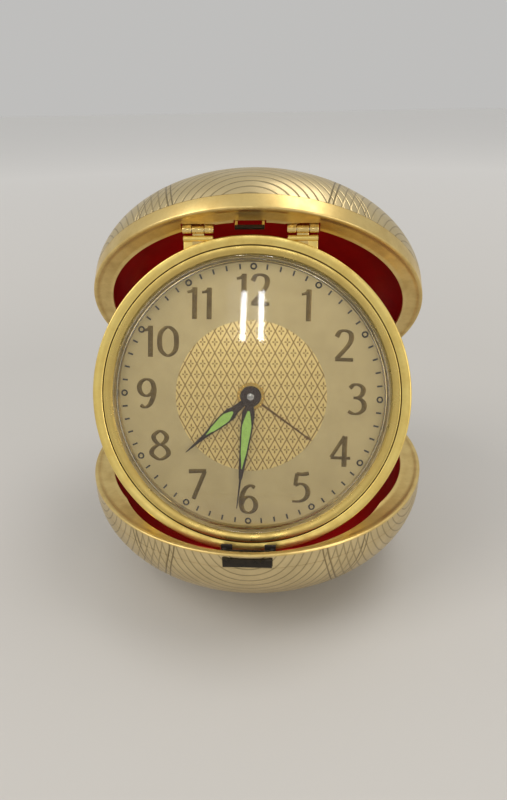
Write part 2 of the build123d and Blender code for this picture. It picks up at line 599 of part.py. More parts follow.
with BuildPart() as head_knuckles:
    for side in (-1, 1):
        MIDDLE = side * HEAD_HINGE_X
        SPAN = (MIDDLE - HEAD_KNUCKLE_HALF, MIDDLE + HEAD_KNUCKLE_HALF)
        ARM_LOW = HEAD_PIVOT_FRONT - HEAD_BARREL
        slab(HEAD, SPAN, (BEZEL_RADIUS - NOTCH_DEPTH, PIVOT_RADIUS), ARM_LOW, ARM_LOW + HEAD_ARM_WALL)
        rod(HEAD, SPAN, PIVOT_RADIUS, HEAD_PIVOT_FRONT, HEAD_BARREL)
        rod(HEAD, SPAN, PIVOT_RADIUS, HEAD_PIVOT_FRONT, HEAD_PIN + PIVOT_CLEAR, Mode.SUBTRACT)
    disc(HEAD, CENTRE, BEZEL_RADIUS, -BEZEL_DEPTH, BEZEL_DEPTH, Mode.SUBTRACT)
keep(head_knuckles, "head_knuckles")

# Head case: bezel, crystal, drum and back cover
with BuildPart() as bezel:
    CREST_OUTER = BEZEL_RADIUS - BEZEL_CHAMFER
    turn(HEAD, [
        (DRUM_RADIUS, -BEZEL_DEPTH),
        (BEZEL_RADIUS, -BEZEL_DEPTH),
        (BEZEL_RADIUS, 0),
        (CREST_OUTER, BEZEL_CREST),
        (CREST_OUTER - BEZEL_CREST_WIDTH, BEZEL_CREST),
        (BEZEL_OPENING, BEZEL_LIP),
        (BEZEL_OPENING, 0),
        (DRUM_RADIUS, 0),
    ])
keep(bezel, "bezel")

with BuildPart() as crystal:
    SHOULDER = BEZEL_OPENING - CRYSTAL_SHOULDER
    turn(HEAD, [
        (0, -CRYSTAL_SEAT),
        (DRUM_RADIUS, -CRYSTAL_SEAT),
        (DRUM_RADIUS, 0),
        (BEZEL_OPENING, 0),
        (BEZEL_OPENING, CRYSTAL_SIDE),
        (SHOULDER, CRYSTAL_SIDE + CRYSTAL_SHOULDER_RISE),
        (CRYSTAL_TOP, CRYSTAL_SIDE + CRYSTAL_SHOULDER_RISE + CRYSTAL_TOP_RISE),
        (0, CRYSTAL_SIDE + CRYSTAL_SHOULDER_RISE + CRYSTAL_TOP_RISE),
    ])
keep(crystal, "crystal")

with BuildPart() as drum:
    disc(HEAD, CENTRE, DRUM_RADIUS, -DRUM_DEPTH, -CRYSTAL_SEAT)
    disc(HEAD, CENTRE, DRUM_INNER, -DRUM_DEPTH, -CRYSTAL_SEAT, Mode.SUBTRACT)
    with BuildSketch(HEAD.offset(-DRUM_DEPTH)):
        with PolarLocations(COVER_SCREW_CIRCLE, COVER_SCREWS, COVER_SCREW_START, rotate=True):
            Rectangle(2 * SCREW_BLOCK_REACH, SCREW_BLOCK)
            Circle(SCREW_SHANK, mode=Mode.SUBTRACT)
        Circle(DRUM_INNER + DRUM_WALL / 2, mode=Mode.INTERSECT)
    extrude(amount=SCREW_REACH)
keep(drum, "drum")

# Openings of the back cover and the rear plate for the arbors that pass through them
CONTROL_HOLES = [
    (CENTRE, ARBOR_RADIUS + PIVOT_CLEAR),
    (TIME_BARREL_AT, BARREL_ARBOR + PIVOT_CLEAR),
    (ALARM_BARREL_AT, BARREL_ARBOR + PIVOT_CLEAR),
    (ALARM_KNOB_AT, ARBOR_RADIUS + PIVOT_CLEAR),
    (STOP_AT, STOP_RADIUS + PIVOT_CLEAR),
]
with BuildPart() as back_cover:
    disc(HEAD, CENTRE, DRUM_RADIUS, -COVER_FACE, -DRUM_DEPTH)
    for place, radius in CONTROL_HOLES:
        disc(HEAD, place, radius, -COVER_FACE, -DRUM_DEPTH, Mode.SUBTRACT)
    with BuildSketch(HEAD.offset(-COVER_FACE)):
        with PolarLocations(COVER_SCREW_CIRCLE, COVER_SCREWS, COVER_SCREW_START):
            Circle(SCREW_SHANK)
    extrude(amount=COVER_WALL, mode=Mode.SUBTRACT)
keep(back_cover, "back_cover")

with BuildPart() as cover_screws:
    with BuildSketch(HEAD.offset(-COVER_FACE - SCREW_HEAD_WALL)):
        with PolarLocations(COVER_SCREW_CIRCLE, COVER_SCREWS, COVER_SCREW_START):
            Circle(SCREW_HEAD)
    extrude(amount=SCREW_HEAD_WALL)
    with BuildSketch(HEAD.offset(-COVER_FACE)):
        with PolarLocations(COVER_SCREW_CIRCLE, COVER_SCREWS, COVER_SCREW_START):
            Circle(SCREW_SHANK)
    extrude(amount=COVER_WALL + SCREW_REACH)
keep(cover_screws, "cover_screws")

# Dial and the ring between it and the crystal
with BuildPart() as dial:
    disc(HEAD, CENTRE, DRUM_INNER, -DIAL_LEVEL - DIAL_WALL, -DIAL_LEVEL)
    disc(HEAD, CENTRE, DIAL_HOLE, -DIAL_LEVEL - DIAL_WALL, -DIAL_LEVEL, Mode.SUBTRACT)
    for side in (-1, 1):
        disc(HEAD, (side * DIAL_FOOT_CIRCLE, 0), DIAL_FOOT, -FRONT_PLATE_LEVEL, -DIAL_LEVEL - DIAL_WALL)
keep(dial, "dial")

with BuildPart() as dial_ring:
    disc(HEAD, CENTRE, DRUM_INNER, -DIAL_LEVEL, -CRYSTAL_SEAT)
    disc(HEAD, CENTRE, DIAL_OPENING, -DIAL_LEVEL, -CRYSTAL_SEAT, Mode.SUBTRACT)
keep(dial_ring, "dial_ring")

# Movement plates, with the holes that their arbors turn in
FRONT_HOLES = [
    (CENTRE, ARBOR_RADIUS),
    (TIME_BARREL_AT, BARREL_ARBOR),
    (ALARM_BARREL_AT, BARREL_ARBOR),
    (ALARM_KNOB_AT, ARBOR_RADIUS),
    (THIRD_AT, ARBOR_RADIUS),
    (FOURTH_AT, ARBOR_RADIUS),
    (ESCAPE_AT, ARBOR_RADIUS),
    (PALLET_AT, ARBOR_RADIUS),
    (BALANCE_AT, ARBOR_RADIUS),
    (HAMMER_AT, ARBOR_RADIUS),
]
REAR_HOLES = FRONT_HOLES + [(STOP_AT, STOP_RADIUS)]


def plate(level, holes):
    """One movement plate with its pivot holes, its front face at a level behind the dial plane."""
    with BuildSketch(HEAD.offset(-level - PLATE_WALL)) as profile:
        Circle(PLATE_RADIUS)
        for place, radius in holes:
            with Locations(place):
                Circle(radius + PIVOT_CLEAR, mode=Mode.SUBTRACT)
    extrude(profile.sketch, amount=PLATE_WALL)


def pillars(low, high):
    """The pillars between two heights."""
    with BuildSketch(HEAD.offset(low)) as profile:
        with PolarLocations(PILLAR_CIRCLE, PILLAR_COUNT, PILLAR_START):
            Circle(PILLAR_RADIUS)
    extrude(profile.sketch, amount=high - low)


with BuildPart() as front_plate:
    plate(FRONT_PLATE_LEVEL, FRONT_HOLES)
keep(front_plate, "front_plate")

with BuildPart() as rear_plate:
    plate(REAR_PLATE_LEVEL, REAR_HOLES)
keep(rear_plate, "rear_plate")

with BuildPart() as plate_pillars:
    pillars(-REAR_PLATE_LEVEL, -FRONT_PLATE_LEVEL - PLATE_WALL)
keep(plate_pillars, "plate_pillars")

with BuildPart() as cover_posts:
    pillars(-DRUM_DEPTH, -REAR_PLATE_LEVEL - PLATE_WALL)
keep(cover_posts, "cover_posts")

REAR_FACE = REAR_PLATE_LEVEL + PLATE_WALL


def arbor(at, radius=ARBOR_RADIUS, low=-REAR_FACE, high=-FRONT_PLATE_LEVEL):
    """A straight arbor, by default from the back of the rear plate to the face of the front one."""
    disc(HEAD, at, radius, low, high)


# Springs in their barrels, and the winding keys on the barrel arbors
BARREL_BACK = BARREL_LEVEL + BARREL_HEIGHT


def barrel(at):
    """A spring barrel: a drum open at the back, which turns on its arbor."""
    disc(HEAD, at, BARREL_RADIUS, -BARREL_BACK, -BARREL_LEVEL)
    disc(HEAD, at, BARREL_RADIUS - BARREL_WALL, -BARREL_BACK, -BARREL_LEVEL - BARREL_WALL, Mode.SUBTRACT)
    disc(HEAD, at, BARREL_ARBOR + PIVOT_CLEAR, -BARREL_BACK, -BARREL_LEVEL, Mode.SUBTRACT)


def mainspring(at):
    """The wound spring in a barrel."""
    outer = BARREL_RADIUS - BARREL_WALL - SPRING_RIBBON
    ribbon(HEAD, at, BARREL_ARBOR + 2 * PIVOT_CLEAR, outer, SPRING_TURNS, SPRING_RIBBON,
           -BARREL_BACK + BARREL_WALL, -BARREL_LEVEL - BARREL_WALL)


def winding_key(at):
    """A winding arbor with a flat wing key behind the back cover."""
    key_face = COVER_FACE + KNOB_GAP
    arbor(at, BARREL_ARBOR, low=-key_face)
    half = KEY_SPAN / 2
    slab(shifted(HEAD, *at), (-half, half), (-KEY_WALL / 2, KEY_WALL / 2), -key_face - KEY_HEIGHT, -key_face)


with BuildPart() as time_barrel:
    barrel(TIME_BARREL_AT)
keep(time_barrel, "time_barrel")

with BuildPart() as alarm_barrel:
    barrel(ALARM_BARREL_AT)
keep(alarm_barrel, "alarm_barrel")

with BuildPart() as time_mainspring:
    mainspring(TIME_BARREL_AT)
keep(time_mainspring, "time_mainspring")

with BuildPart() as alarm_mainspring:
    mainspring(ALARM_BARREL_AT)
keep(alarm_mainspring, "alarm_mainspring")

with BuildPart() as time_key:
    winding_key(TIME_BARREL_AT)
keep(time_key, "time_key")

with BuildPart() as alarm_key:
    winding_key(ALARM_BARREL_AT)
keep(alarm_key, "alarm_key")


# Going train, from the centre wheel to the balance
def mobile(at, wheel_radius, wheel_level, pinion_radius, pinion_level):
    """An arbor with one wheel and one pinion."""
    arbor(at)
    blank(HEAD, at, wheel_radius, wheel_level)
    blank(HEAD, at, pinion_radius, pinion_level, PINION_HEIGHT)


MINUTE_TIP = MINUTE_HAND_LEVEL - HAND_WALL
with BuildPart() as centre_wheel:
    arbor(CENTRE, low=-COVER_FACE - KNOB_GAP, high=-MINUTE_TIP)
    blank(HEAD, CENTRE, CENTRE_WHEEL, CENTRE_LEVEL)
    blank(HEAD, CENTRE, CENTRE_PINION, BARREL_LEVEL + BARREL_WALL, BARREL_HEIGHT - 2 * BARREL_WALL)
keep(centre_wheel, "centre_wheel")

with BuildPart() as third_wheel:
    mobile(THIRD_AT, THIRD_WHEEL, THIRD_LEVEL, THIRD_PINION, CENTRE_LEVEL - WHEEL_WALL + TIP_CLEAR)
keep(third_wheel, "third_wheel")

with BuildPart() as fourth_wheel:
    mobile(FOURTH_AT, FOURTH_WHEEL, FOURTH_LEVEL, FOURTH_PINION, THIRD_LEVEL - 2 * WHEEL_WALL)
keep(fourth_wheel, "fourth_wheel")

with BuildPart() as escape_wheel:
    arbor(ESCAPE_AT)
    blank(HEAD, ESCAPE_AT, ESCAPE_PINION, FOURTH_LEVEL - WHEEL_WALL, PINION_HEIGHT)
    TOOTH_PITCH = 2 * pi / ESCAPE_TEETH
    TEETH = []
    for tooth in range(ESCAPE_TEETH):
        TEETH.append((ESCAPE_WHEEL * cos(tooth * TOOTH_PITCH), ESCAPE_WHEEL * sin(tooth * TOOTH_PITCH)))
        ROOT_ANGLE = (tooth + TOOTH_REST_SHARE) * TOOTH_PITCH
        TEETH.append((ESCAPE_ROOT * cos(ROOT_ANGLE), ESCAPE_ROOT * sin(ROOT_ANGLE)))
    with BuildSketch(shifted(HEAD, *ESCAPE_AT, -ESCAPE_LEVEL - WHEEL_WALL)):
        with BuildLine():
            Polyline(*TEETH, close=True)
        make_face()
    extrude(amount=WHEEL_WALL)
keep(escape_wheel, "escape_wheel")


def aimed(at, target, level):
    """A plane at a place of the movement, with its x direction towards another place."""
    start = HEAD.from_local_coords((at[0], at[1], -level))
    end = HEAD.from_local_coords((target[0], target[1], -level))
    return Plane(start, x_dir=end - start, z_dir=HEAD.z_dir)


with BuildPart() as pallet_lever:
    arbor(PALLET_AT)
    LEVER_PLANE = aimed(PALLET_AT, BALANCE_AT, ESCAPE_LEVEL + WHEEL_WALL)
    slab(LEVER_PLANE, (0, PALLET_REACH), (-PALLET_WIDTH / 2, PALLET_WIDTH / 2), 0, WHEEL_WALL)
    slab(LEVER_PLANE, (-PALLET_WIDTH / 2, PALLET_WIDTH / 2), (-PALLET_SPAN, PALLET_SPAN), 0, WHEEL_WALL)
keep(pallet_lever, "pallet_lever")

with BuildPart() as balance_wheel:
    arbor(BALANCE_AT)
    RIM_LOW = -BALANCE_LEVEL - WHEEL_WALL
    with BuildSketch(shifted(HEAD, *BALANCE_AT, RIM_LOW)):
        RegularPolygon(BALANCE_RADIUS, WHEEL_FACETS)
        RegularPolygon(BALANCE_RADIUS - BALANCE_RIM, WHEEL_FACETS, mode=Mode.SUBTRACT)
        Rectangle(2 * BALANCE_RADIUS - BALANCE_RIM, BALANCE_RIM)
    extrude(amount=WHEEL_WALL)
    blank(HEAD, BALANCE_AT, BALANCE_ROLLER, ESCAPE_LEVEL)
keep(balance_wheel, "balance_wheel")

with BuildPart() as hairspring:
    ribbon(HEAD, BALANCE_AT, ARBOR_RADIUS, HAIRSPRING_RADIUS, HAIRSPRING_TURNS, HAIRSPRING_RIBBON,
           -HAIRSPRING_LEVEL - WHEEL_WALL, -HAIRSPRING_LEVEL)
keep(hairspring, "hairspring")

with BuildPart() as regulator:
    LEVER_PLANE = aimed(BALANCE_AT, CENTRE, REAR_FACE + WHEEL_WALL)
    slab(LEVER_PLANE, (-REGULATOR_WIDTH / 2, REGULATOR_REACH), (-REGULATOR_WIDTH / 2, REGULATOR_WIDTH / 2), 0,
         WHEEL_WALL)
keep(regulator, "regulator")

with BuildPart() as alarm_hammer:
    arbor(HAMMER_AT)
    OUTWARD = (HAMMER_AT[0] * 2, HAMMER_AT[1] * 2)
    LEVER_PLANE = aimed(HAMMER_AT, OUTWARD, BARREL_BACK)
    slab(LEVER_PLANE, (0, HAMMER_REACH), (-HAMMER_WIDTH / 2, HAMMER_WIDTH / 2), 0, HAMMER_WIDTH)
    disc(LEVER_PLANE, (HAMMER_REACH, 0), HAMMER_HEAD, -HAMMER_WIDTH / 2, BARREL_HEIGHT - WHEEL_WALL)
keep(alarm_hammer, "alarm_hammer")

# Motion works behind the dial, with the three concentric pipes of the hands
PIPE_BACK = FRONT_PLATE_LEVEL - PIVOT_CLEAR
with BuildPart() as cannon_pinion:
    disc(HEAD, CENTRE, MINUTE_PIPE, -PIPE_BACK, -MINUTE_HAND_LEVEL)
    blank(HEAD, CENTRE, CANNON_PINION, MINUTE_WHEEL_LEVEL, WHEEL_WALL)
    disc(HEAD, CENTRE, ARBOR_RADIUS, -FRONT_PLATE_LEVEL, -MINUTE_TIP, Mode.SUBTRACT)
keep(cannon_pinion, "cannon_pinion")

with BuildPart() as minute_wheel:
    arbor(MINUTE_WHEEL_AT, low=-FRONT_PLATE_LEVEL, high=-ALARM_WHEEL_LEVEL - WHEEL_WALL - TIP_CLEAR)
    blank(HEAD, MINUTE_WHEEL_AT, MINUTE_WHEEL, MINUTE_WHEEL_LEVEL)
    blank(HEAD, MINUTE_WHEEL_AT, MINUTE_PINION, HOUR_WHEEL_LEVEL, MINUTE_WHEEL_LEVEL - HOUR_WHEEL_LEVEL)
keep(minute_wheel, "minute_wheel")

with BuildPart() as hour_wheel:
    disc(HEAD, CENTRE, HOUR_PIPE, -HOUR_WHEEL_LEVEL - WHEEL_WALL, -HOUR_HAND_LEVEL)
    blank(HEAD, CENTRE, HOUR_WHEEL, HOUR_WHEEL_LEVEL)
    disc(HEAD, CENTRE, MINUTE_PIPE + PIVOT_CLEAR, -FRONT_PLATE_LEVEL, 0, Mode.SUBTRACT)
keep(hour_wheel, "hour_wheel")

with BuildPart() as alarm_wheel:
    disc(HEAD, CENTRE, ALARM_PIPE, -ALARM_WHEEL_LEVEL - WHEEL_WALL, -ALARM_HAND_LEVEL)
    blank(HEAD, CENTRE, ALARM_WHEEL, ALARM_WHEEL_LEVEL)
    disc(HEAD, CENTRE, HOUR_PIPE + PIVOT_CLEAR, -FRONT_PLATE_LEVEL, 0, Mode.SUBTRACT)
keep(alarm_wheel, "alarm_wheel")


# Hands, drawn at twelve o'clock and turned to the time shown
def hand_plane(turn_angle, level):
    """A plane in the head whose y direction points along a hand, clockwise from twelve."""
    across = HEAD.x_dir.rotate(Axis((0, 0, 0), HEAD.z_dir), -turn_angle)
    return Plane(HEAD.from_local_coords((0, 0, -level)), x_dir=across, z_dir=HEAD.z_dir)


def hand(plane, hub, width, length, widest_share, waist_share, bore):
    """A flat hand: a round hub and a blade that swells to its widest place and tapers to its tip."""
    with BuildSketch(plane) as profile:
        Circle(hub)
        with BuildLine():
            Polyline(
                (-width * waist_share / 2, 0),
                (-width / 2, length * widest_share),
                (0, length),
                (width / 2, length * widest_share),
                (width * waist_share / 2, 0),
                close=True,
            )
        make_face()
        Circle(bore, mode=Mode.SUBTRACT)
    extrude(profile.sketch, amount=HAND_WALL)


with BuildPart() as alarm_hand:
    ALARM_PLANE = hand_plane(ALARM_TURN, ALARM_HAND_LEVEL)
    hand(ALARM_PLANE, ALARM_HUB, ALARM_WIDTH, ALARM_LENGTH, ALARM_WIDEST_SHARE, ALARM_WAIST_SHARE,
         HOUR_PIPE + PIVOT_CLEAR)
keep(alarm_hand, "alarm_hand")

with BuildPart() as hour_hand:
    HOUR_PLANE = hand_plane(HOUR_TURN, HOUR_HAND_LEVEL)
    hand(HOUR_PLANE, HOUR_HUB, HOUR_WIDTH, HOUR_LENGTH, HOUR_WIDEST_SHARE, HAND_WAIST_SHARE,
         MINUTE_PIPE + PIVOT_CLEAR)
keep(hour_hand, "hour_hand")

with BuildPart() as minute_hand:
    MINUTE_PLANE = hand_plane(MINUTE_TURN, MINUTE_HAND_LEVEL)
    hand(MINUTE_PLANE, MINUTE_HUB, MINUTE_WIDTH, MINUTE_LENGTH, MINUTE_WIDEST_SHARE, HAND_WAIST_SHARE,
         ARBOR_RADIUS)
    disc(MINUTE_PLANE, CENTRE, CAP_RADIUS, HAND_WALL, HAND_WALL + CAP_RISE)
keep(minute_hand, "minute_hand")


# Setting knobs and the alarm stop at the back
def knob(at, radius):
    """A knob with flats behind the back cover."""
    face = COVER_FACE + KNOB_GAP
    blank(HEAD, at, radius, face, KNOB_HEIGHT)


with BuildPart() as time_set_knob:
    knob(CENTRE, TIME_KNOB)
keep(time_set_knob, "time_set_knob")

with BuildPart() as alarm_set_knob:
    knob(ALARM_KNOB_AT, ALARM_KNOB)
    arbor(ALARM_KNOB_AT, low=-COVER_FACE - KNOB_GAP, high=-ALARM_WHEEL_LEVEL)
    blank(HEAD, ALARM_KNOB_AT, ALARM_PINION, ALARM_WHEEL_LEVEL)
keep(alarm_set_knob, "alarm_set_knob")

with BuildPart() as alarm_stop:
    STOP_TIP = REAR_PLATE_LEVEL + PLATE_WALL / 2 + STOP_TRAVEL
    STOP_FACE = COVER_FACE + STOP_TRAVEL + KNOB_GAP
    disc(HEAD, STOP_AT, STOP_RADIUS, -STOP_FACE, -STOP_TIP)
    disc(HEAD, STOP_AT, STOP_HEAD, -STOP_FACE - STOP_HEAD_WALL, -STOP_FACE)
keep(alarm_stop, "alarm_stop")
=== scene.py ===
import json
import math

import bmesh
import bpy
from mathutils import Matrix, Vector

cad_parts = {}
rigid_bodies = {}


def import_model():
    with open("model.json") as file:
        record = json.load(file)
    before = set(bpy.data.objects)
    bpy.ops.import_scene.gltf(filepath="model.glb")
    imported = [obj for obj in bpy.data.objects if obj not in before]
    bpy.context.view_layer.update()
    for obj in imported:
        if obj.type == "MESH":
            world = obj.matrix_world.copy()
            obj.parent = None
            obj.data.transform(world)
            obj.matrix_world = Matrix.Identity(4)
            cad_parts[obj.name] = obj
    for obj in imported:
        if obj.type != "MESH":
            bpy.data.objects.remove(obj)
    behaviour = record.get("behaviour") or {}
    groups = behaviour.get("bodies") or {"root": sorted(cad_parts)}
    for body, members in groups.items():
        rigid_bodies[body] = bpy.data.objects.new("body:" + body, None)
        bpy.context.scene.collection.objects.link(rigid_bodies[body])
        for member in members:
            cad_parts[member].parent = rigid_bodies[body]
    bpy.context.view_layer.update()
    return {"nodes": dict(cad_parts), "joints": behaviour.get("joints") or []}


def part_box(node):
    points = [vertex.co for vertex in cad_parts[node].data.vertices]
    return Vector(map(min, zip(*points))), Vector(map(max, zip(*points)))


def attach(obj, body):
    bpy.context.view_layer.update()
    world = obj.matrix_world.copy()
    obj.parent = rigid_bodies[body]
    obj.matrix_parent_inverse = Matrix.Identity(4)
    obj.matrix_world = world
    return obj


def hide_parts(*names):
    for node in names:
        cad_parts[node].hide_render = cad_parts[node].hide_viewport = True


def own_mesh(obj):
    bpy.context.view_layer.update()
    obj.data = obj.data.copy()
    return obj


# Folding travel alarm clock, open on a table. Metres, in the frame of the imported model.
for leftover in list(bpy.data.objects):
    bpy.data.objects.remove(leftover)
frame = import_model()
joints = {joint["name"]: joint for joint in frame["joints"]}
nodes = frame["nodes"]
scene = bpy.context.scene
scene.view_settings.view_transform = "Standard"

# Camera: close to the clock, looking down at it with a slight roll, as a hand-held camera does. It stands a
# little to the right and sees the dial nearly square on.
CAMERA_PLACE = Vector((0.0075, -0.1299, 0.1021))
CAMERA_TURN = math.radians(3.55)
CAMERA_DOWN = math.radians(26.4)
CAMERA_ROLL = math.radians(-1.15)
CAMERA_LENS = 28.35
camera = bpy.data.objects.new("camera", bpy.data.cameras.new("camera"))
camera.data.lens = CAMERA_LENS
camera.data.clip_start = 0.01
camera.matrix_world = (
    Matrix.Translation(CAMERA_PLACE)
    @ Matrix.Rotation(CAMERA_TURN, 4, "Z")
    @ Matrix.Rotation(math.pi / 2 - CAMERA_DOWN, 4, "X")
    @ Matrix.Rotation(CAMERA_ROLL, 4, "Z")
)
scene.collection.objects.link(camera)
scene.camera = camera

# Table: a plain pale top, larger than any view of it. Its colour grows paler between the near and the far
# reach from the clock.
FLOOR_HALF = 3.0
FLOOR_COLOUR = (0.58, 0.565, 0.545, 1.0)
FLOOR_FAR = (0.93, 0.91, 0.89, 1.0)
FLOOR_NEAR_REACH = 0.15
FLOOR_FAR_REACH = 0.8
FLOOR_ROUGHNESS = 0.55


def new_node(tree, kind, *values, operation=None, **inputs):
    """A node whose inputs, in order or by name, are plain values or sockets."""
    node = tree.nodes.new(kind)
    if operation:
        node.operation = operation
    for key, value in [*enumerate(values), *inputs.items()]:
        socket = node.inputs[key.replace("_", " ") if isinstance(key, str) else key]
        if isinstance(value, bpy.types.NodeSocket):
            tree.links.new(value, socket)
        else:
            socket.default_value = value
    return node


def blended(tree, factor, low, high):
    """A colour between two, by a factor socket. Either may be a socket itself."""
    node = tree.nodes.new("ShaderNodeMix")
    node.data_type = "RGBA"
    tree.links.new(factor, node.inputs[0])
    for index, value in ((6, low), (7, high)):
        if isinstance(value, tuple):
            node.inputs[index].default_value = value
        else:
            tree.links.new(value, node.inputs[index])
    return node.outputs[2]


floor_mesh = bpy.data.meshes.new("floor")
floor_mesh.from_pydata(
    [(-FLOOR_HALF, -FLOOR_HALF, 0), (FLOOR_HALF, -FLOOR_HALF, 0), (FLOOR_HALF, FLOOR_HALF, 0),
     (-FLOOR_HALF, FLOOR_HALF, 0)],
    [],
    [(0, 1, 2, 3)],
)
floor = bpy.data.objects.new("floor", floor_mesh)
scene.collection.objects.link(floor)
floor_paint = bpy.data.materials.new("table_top")
floor_paint.use_nodes = True
floor_tree = floor_paint.node_tree
floor_shader = floor_tree.nodes["Principled BSDF"]
floor_place = floor_tree.nodes.new("ShaderNodeTexCoord").outputs["Object"]
floor_reach = new_node(floor_tree, "ShaderNodeVectorMath", floor_place, operation="LENGTH").outputs["Value"]
floor_share = new_node(floor_tree, "ShaderNodeMapRange", Value=floor_reach,
                       From_Min=FLOOR_NEAR_REACH, From_Max=FLOOR_FAR_REACH)
floor_colour = blended(floor_tree, floor_share.outputs["Result"], FLOOR_COLOUR, FLOOR_FAR)
floor_tree.links.new(floor_colour, floor_shader.inputs["Base Color"])
floor_shader.inputs["Roughness"].default_value = FLOOR_ROUGHNESS
floor_mesh.materials.append(floor_paint)

# Room: a soft pale surround that gives even light, with three soft boxes that the metal mirrors. Two long
# tubes in front show as bright bars in the crystal.
ROOM_LIGHT = (0.54, 0.54, 0.53, 1.0)
ROOM_SEEN = (0.52, 0.515, 0.505, 1.0)
world = bpy.data.worlds.new("room")
scene.world = world
world.use_nodes = True
room = world.node_tree
background = room.nodes["Background"]
ray = room.nodes.new("ShaderNodeLightPath")
room_colour = blended(room, ray.outputs["Is Camera Ray"], ROOM_LIGHT, ROOM_SEEN)
room.links.new(room_colour, background.inputs["Color"])
# name: place, the point it faces, width, height, watts, colour
SOFT_BOXES = {
    "window": ((-0.45, -0.25, 0.55), (0, 0, 0.04), 0.40, 0.50, 1.8, (1.0, 0.95, 0.88)),
    "ceiling": ((0.30, 0.10, 0.80), (0, 0, 0.04), 0.60, 0.30, 1.7, (1.0, 0.96, 0.90)),
    "fill": ((0.50, -0.45, 0.25), (0, 0, 0.04), 0.30, 0.30, 0.9, (1.0, 0.92, 0.82)),
    "tube_left": ((-0.071, -0.80, 0.466), (0.001, -0.016, 0.062), 0.013, 0.125, 0.12, (1.0, 1.0, 1.0)),
    "tube_right": ((-0.025, -0.80, 0.466), (0.001, -0.016, 0.062), 0.013, 0.125, 0.12, (1.0, 1.0, 1.0)),
}
for lamp_name, (place, target, width, height, watts, colour) in SOFT_BOXES.items():
    lamp_data = bpy.data.lights.new(lamp_name, "AREA")
    lamp_data.shape = "RECTANGLE"
    lamp_data.size = width
    lamp_data.size_y = height
    lamp_data.energy = watts
    lamp_data.color = colour
    lamp = bpy.data.objects.new(lamp_name, lamp_data)
    lamp.location = place
    lamp.rotation_euler = (Vector(target) - Vector(place)).to_track_quat("-Z", "Y").to_euler()
    scene.collection.objects.link(lamp)

# Lower shell: a domed half, spun from thin sheet brass and plated pale gold. Fans of fine engine-turned
# arcs are cut into it, each centred on the rim. Its foot is flat and a slot at the front takes the latch.
CASE_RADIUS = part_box("lower_rim")[1].x
HALF_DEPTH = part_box("lower_rim")[1].z
FOOT_RADIUS = 0.010
BAND_HEIGHT = 0.0032
BAND_WALL = 0.0008
UPSTAND_WALL = 0.0008
SHELL_WALL = 0.0007
FLANGE_WALL = 0.0006
FOOT_ANGLE = math.acos(FOOT_RADIUS / CASE_RADIUS)
UPSTAND_RADIUS = CASE_RADIUS - BAND_WALL
CAVITY_RADIUS = UPSTAND_RADIUS - UPSTAND_WALL
ROUND_SIDES = 192
DOME_STEPS = 28
SHARP_ANGLE = math.radians(35)
FAN_COUNT = 6
FAN_RADIUS = 25.0
FAN_LIFT = 3.0
FAN_PITCH = 1.6
FAN_EDGE_GAP = 0.45
FAN_RELIEF = 0.00012
CROWN_SMALLER = 6.0
CHAMPAGNE = (0.72, 0.58, 0.32, 1.0)
CHAMPAGNE_LOW = (0.20, 0.14, 0.055, 1.0)


def placed(origin, x_way, z_way):
    """The matrix of a local frame from its origin and two of its directions."""
    x_way, z_way = Vector(x_way).normalized(), Vector(z_way).normalized()
    turn = Matrix((x_way, z_way.cross(x_way), z_way)).transposed()
    return Matrix.Translation(origin) @ turn.to_4x4()


BASE = placed((0, 0, HALF_DEPTH), (-1, 0, 0), (0, 0, 1))


def keep_local(mesh, place):
    """Store each point's place in the piece's own frame, in millimetres, for its material."""
    to_local = place.inverted()
    local = mesh.attributes.get("local") or mesh.attributes.new("local", "FLOAT_VECTOR", "POINT")
    for index, vertex in enumerate(mesh.vertices):
        local.data[index].vector = (to_local @ vertex.co) * 1000


def piece(name, mesh, place, material, body, slot, *stands_for):
    """Make a finished mesh a piece of the clock: shaded, finished, riding on its body."""
    mesh.shade_smooth()
    mesh.set_sharp_from_angle(angle=SHARP_ANGLE)
    keep_local(mesh, place)
    mesh.name = name
    obj = bpy.data.objects.new(name, mesh)
    scene.collection.objects.link(obj)
    finishes = material if isinstance(material, tuple) else (material,)
    for index, one in enumerate(finishes):
        if index < len(mesh.materials):
            mesh.materials[index] = one
        else:
            mesh.materials.append(one)
    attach(obj, body)
    if stands_for:
        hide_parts(*stands_for)
    return obj


def meshed(shape, name, place):
    """The mesh of a finished shape with its faces turned outward, set in the model from a local frame."""
    bmesh.ops.recalc_face_normals(shape, faces=shape.faces)
    mesh = bpy.data.meshes.new(name)
    shape.to_mesh(mesh)
    shape.free()
    mesh.transform(place)
    return mesh


def turned(place, outline, sides=ROUND_SIDES):
    """A mesh turned about the frame's z axis from radius and height points, a ring or pole to pole."""
    shape = bmesh.new()
    rings = []
    for radius, height in outline:
        if radius == 0:
            rings.append([shape.verts.new((0, 0, height))])
            continue
        ring = []
        for side in range(sides):
            angle = 2 * math.pi * side / sides
            ring.append(shape.verts.new((radius * math.cos(angle), radius * math.sin(angle), height)))
        rings.append(ring)
    for first, second in zip(rings, rings[1:] + rings[:1]):
        if len(first) == 1 and len(second) == 1:
            continue
        for side in range(sides):
            after = (side + 1) % sides
            corners = [first[side % len(first)], first[after % len(first)]]
            corners += [second[after % len(second)], second[side % len(second)]]
            shape.faces.new(list(dict.fromkeys(corners)))
    return meshed(shape, "turned", place)


def block(place, x, y, z):
    """A box mesh over three spans of a local frame."""
    shape = bmesh.new()
    corners = [shape.verts.new((x[i], y[j], z[k])) for i in (0, 1) for j in (0, 1) for k in (0, 1)]
    for face in ((0, 1, 3, 2), (4, 6, 7, 5), (0, 4, 5, 1), (2, 3, 7, 6), (0, 2, 6, 4), (1, 5, 7, 3)):
        shape.faces.new([corners[index] for index in face])
    return meshed(shape, "block", place)


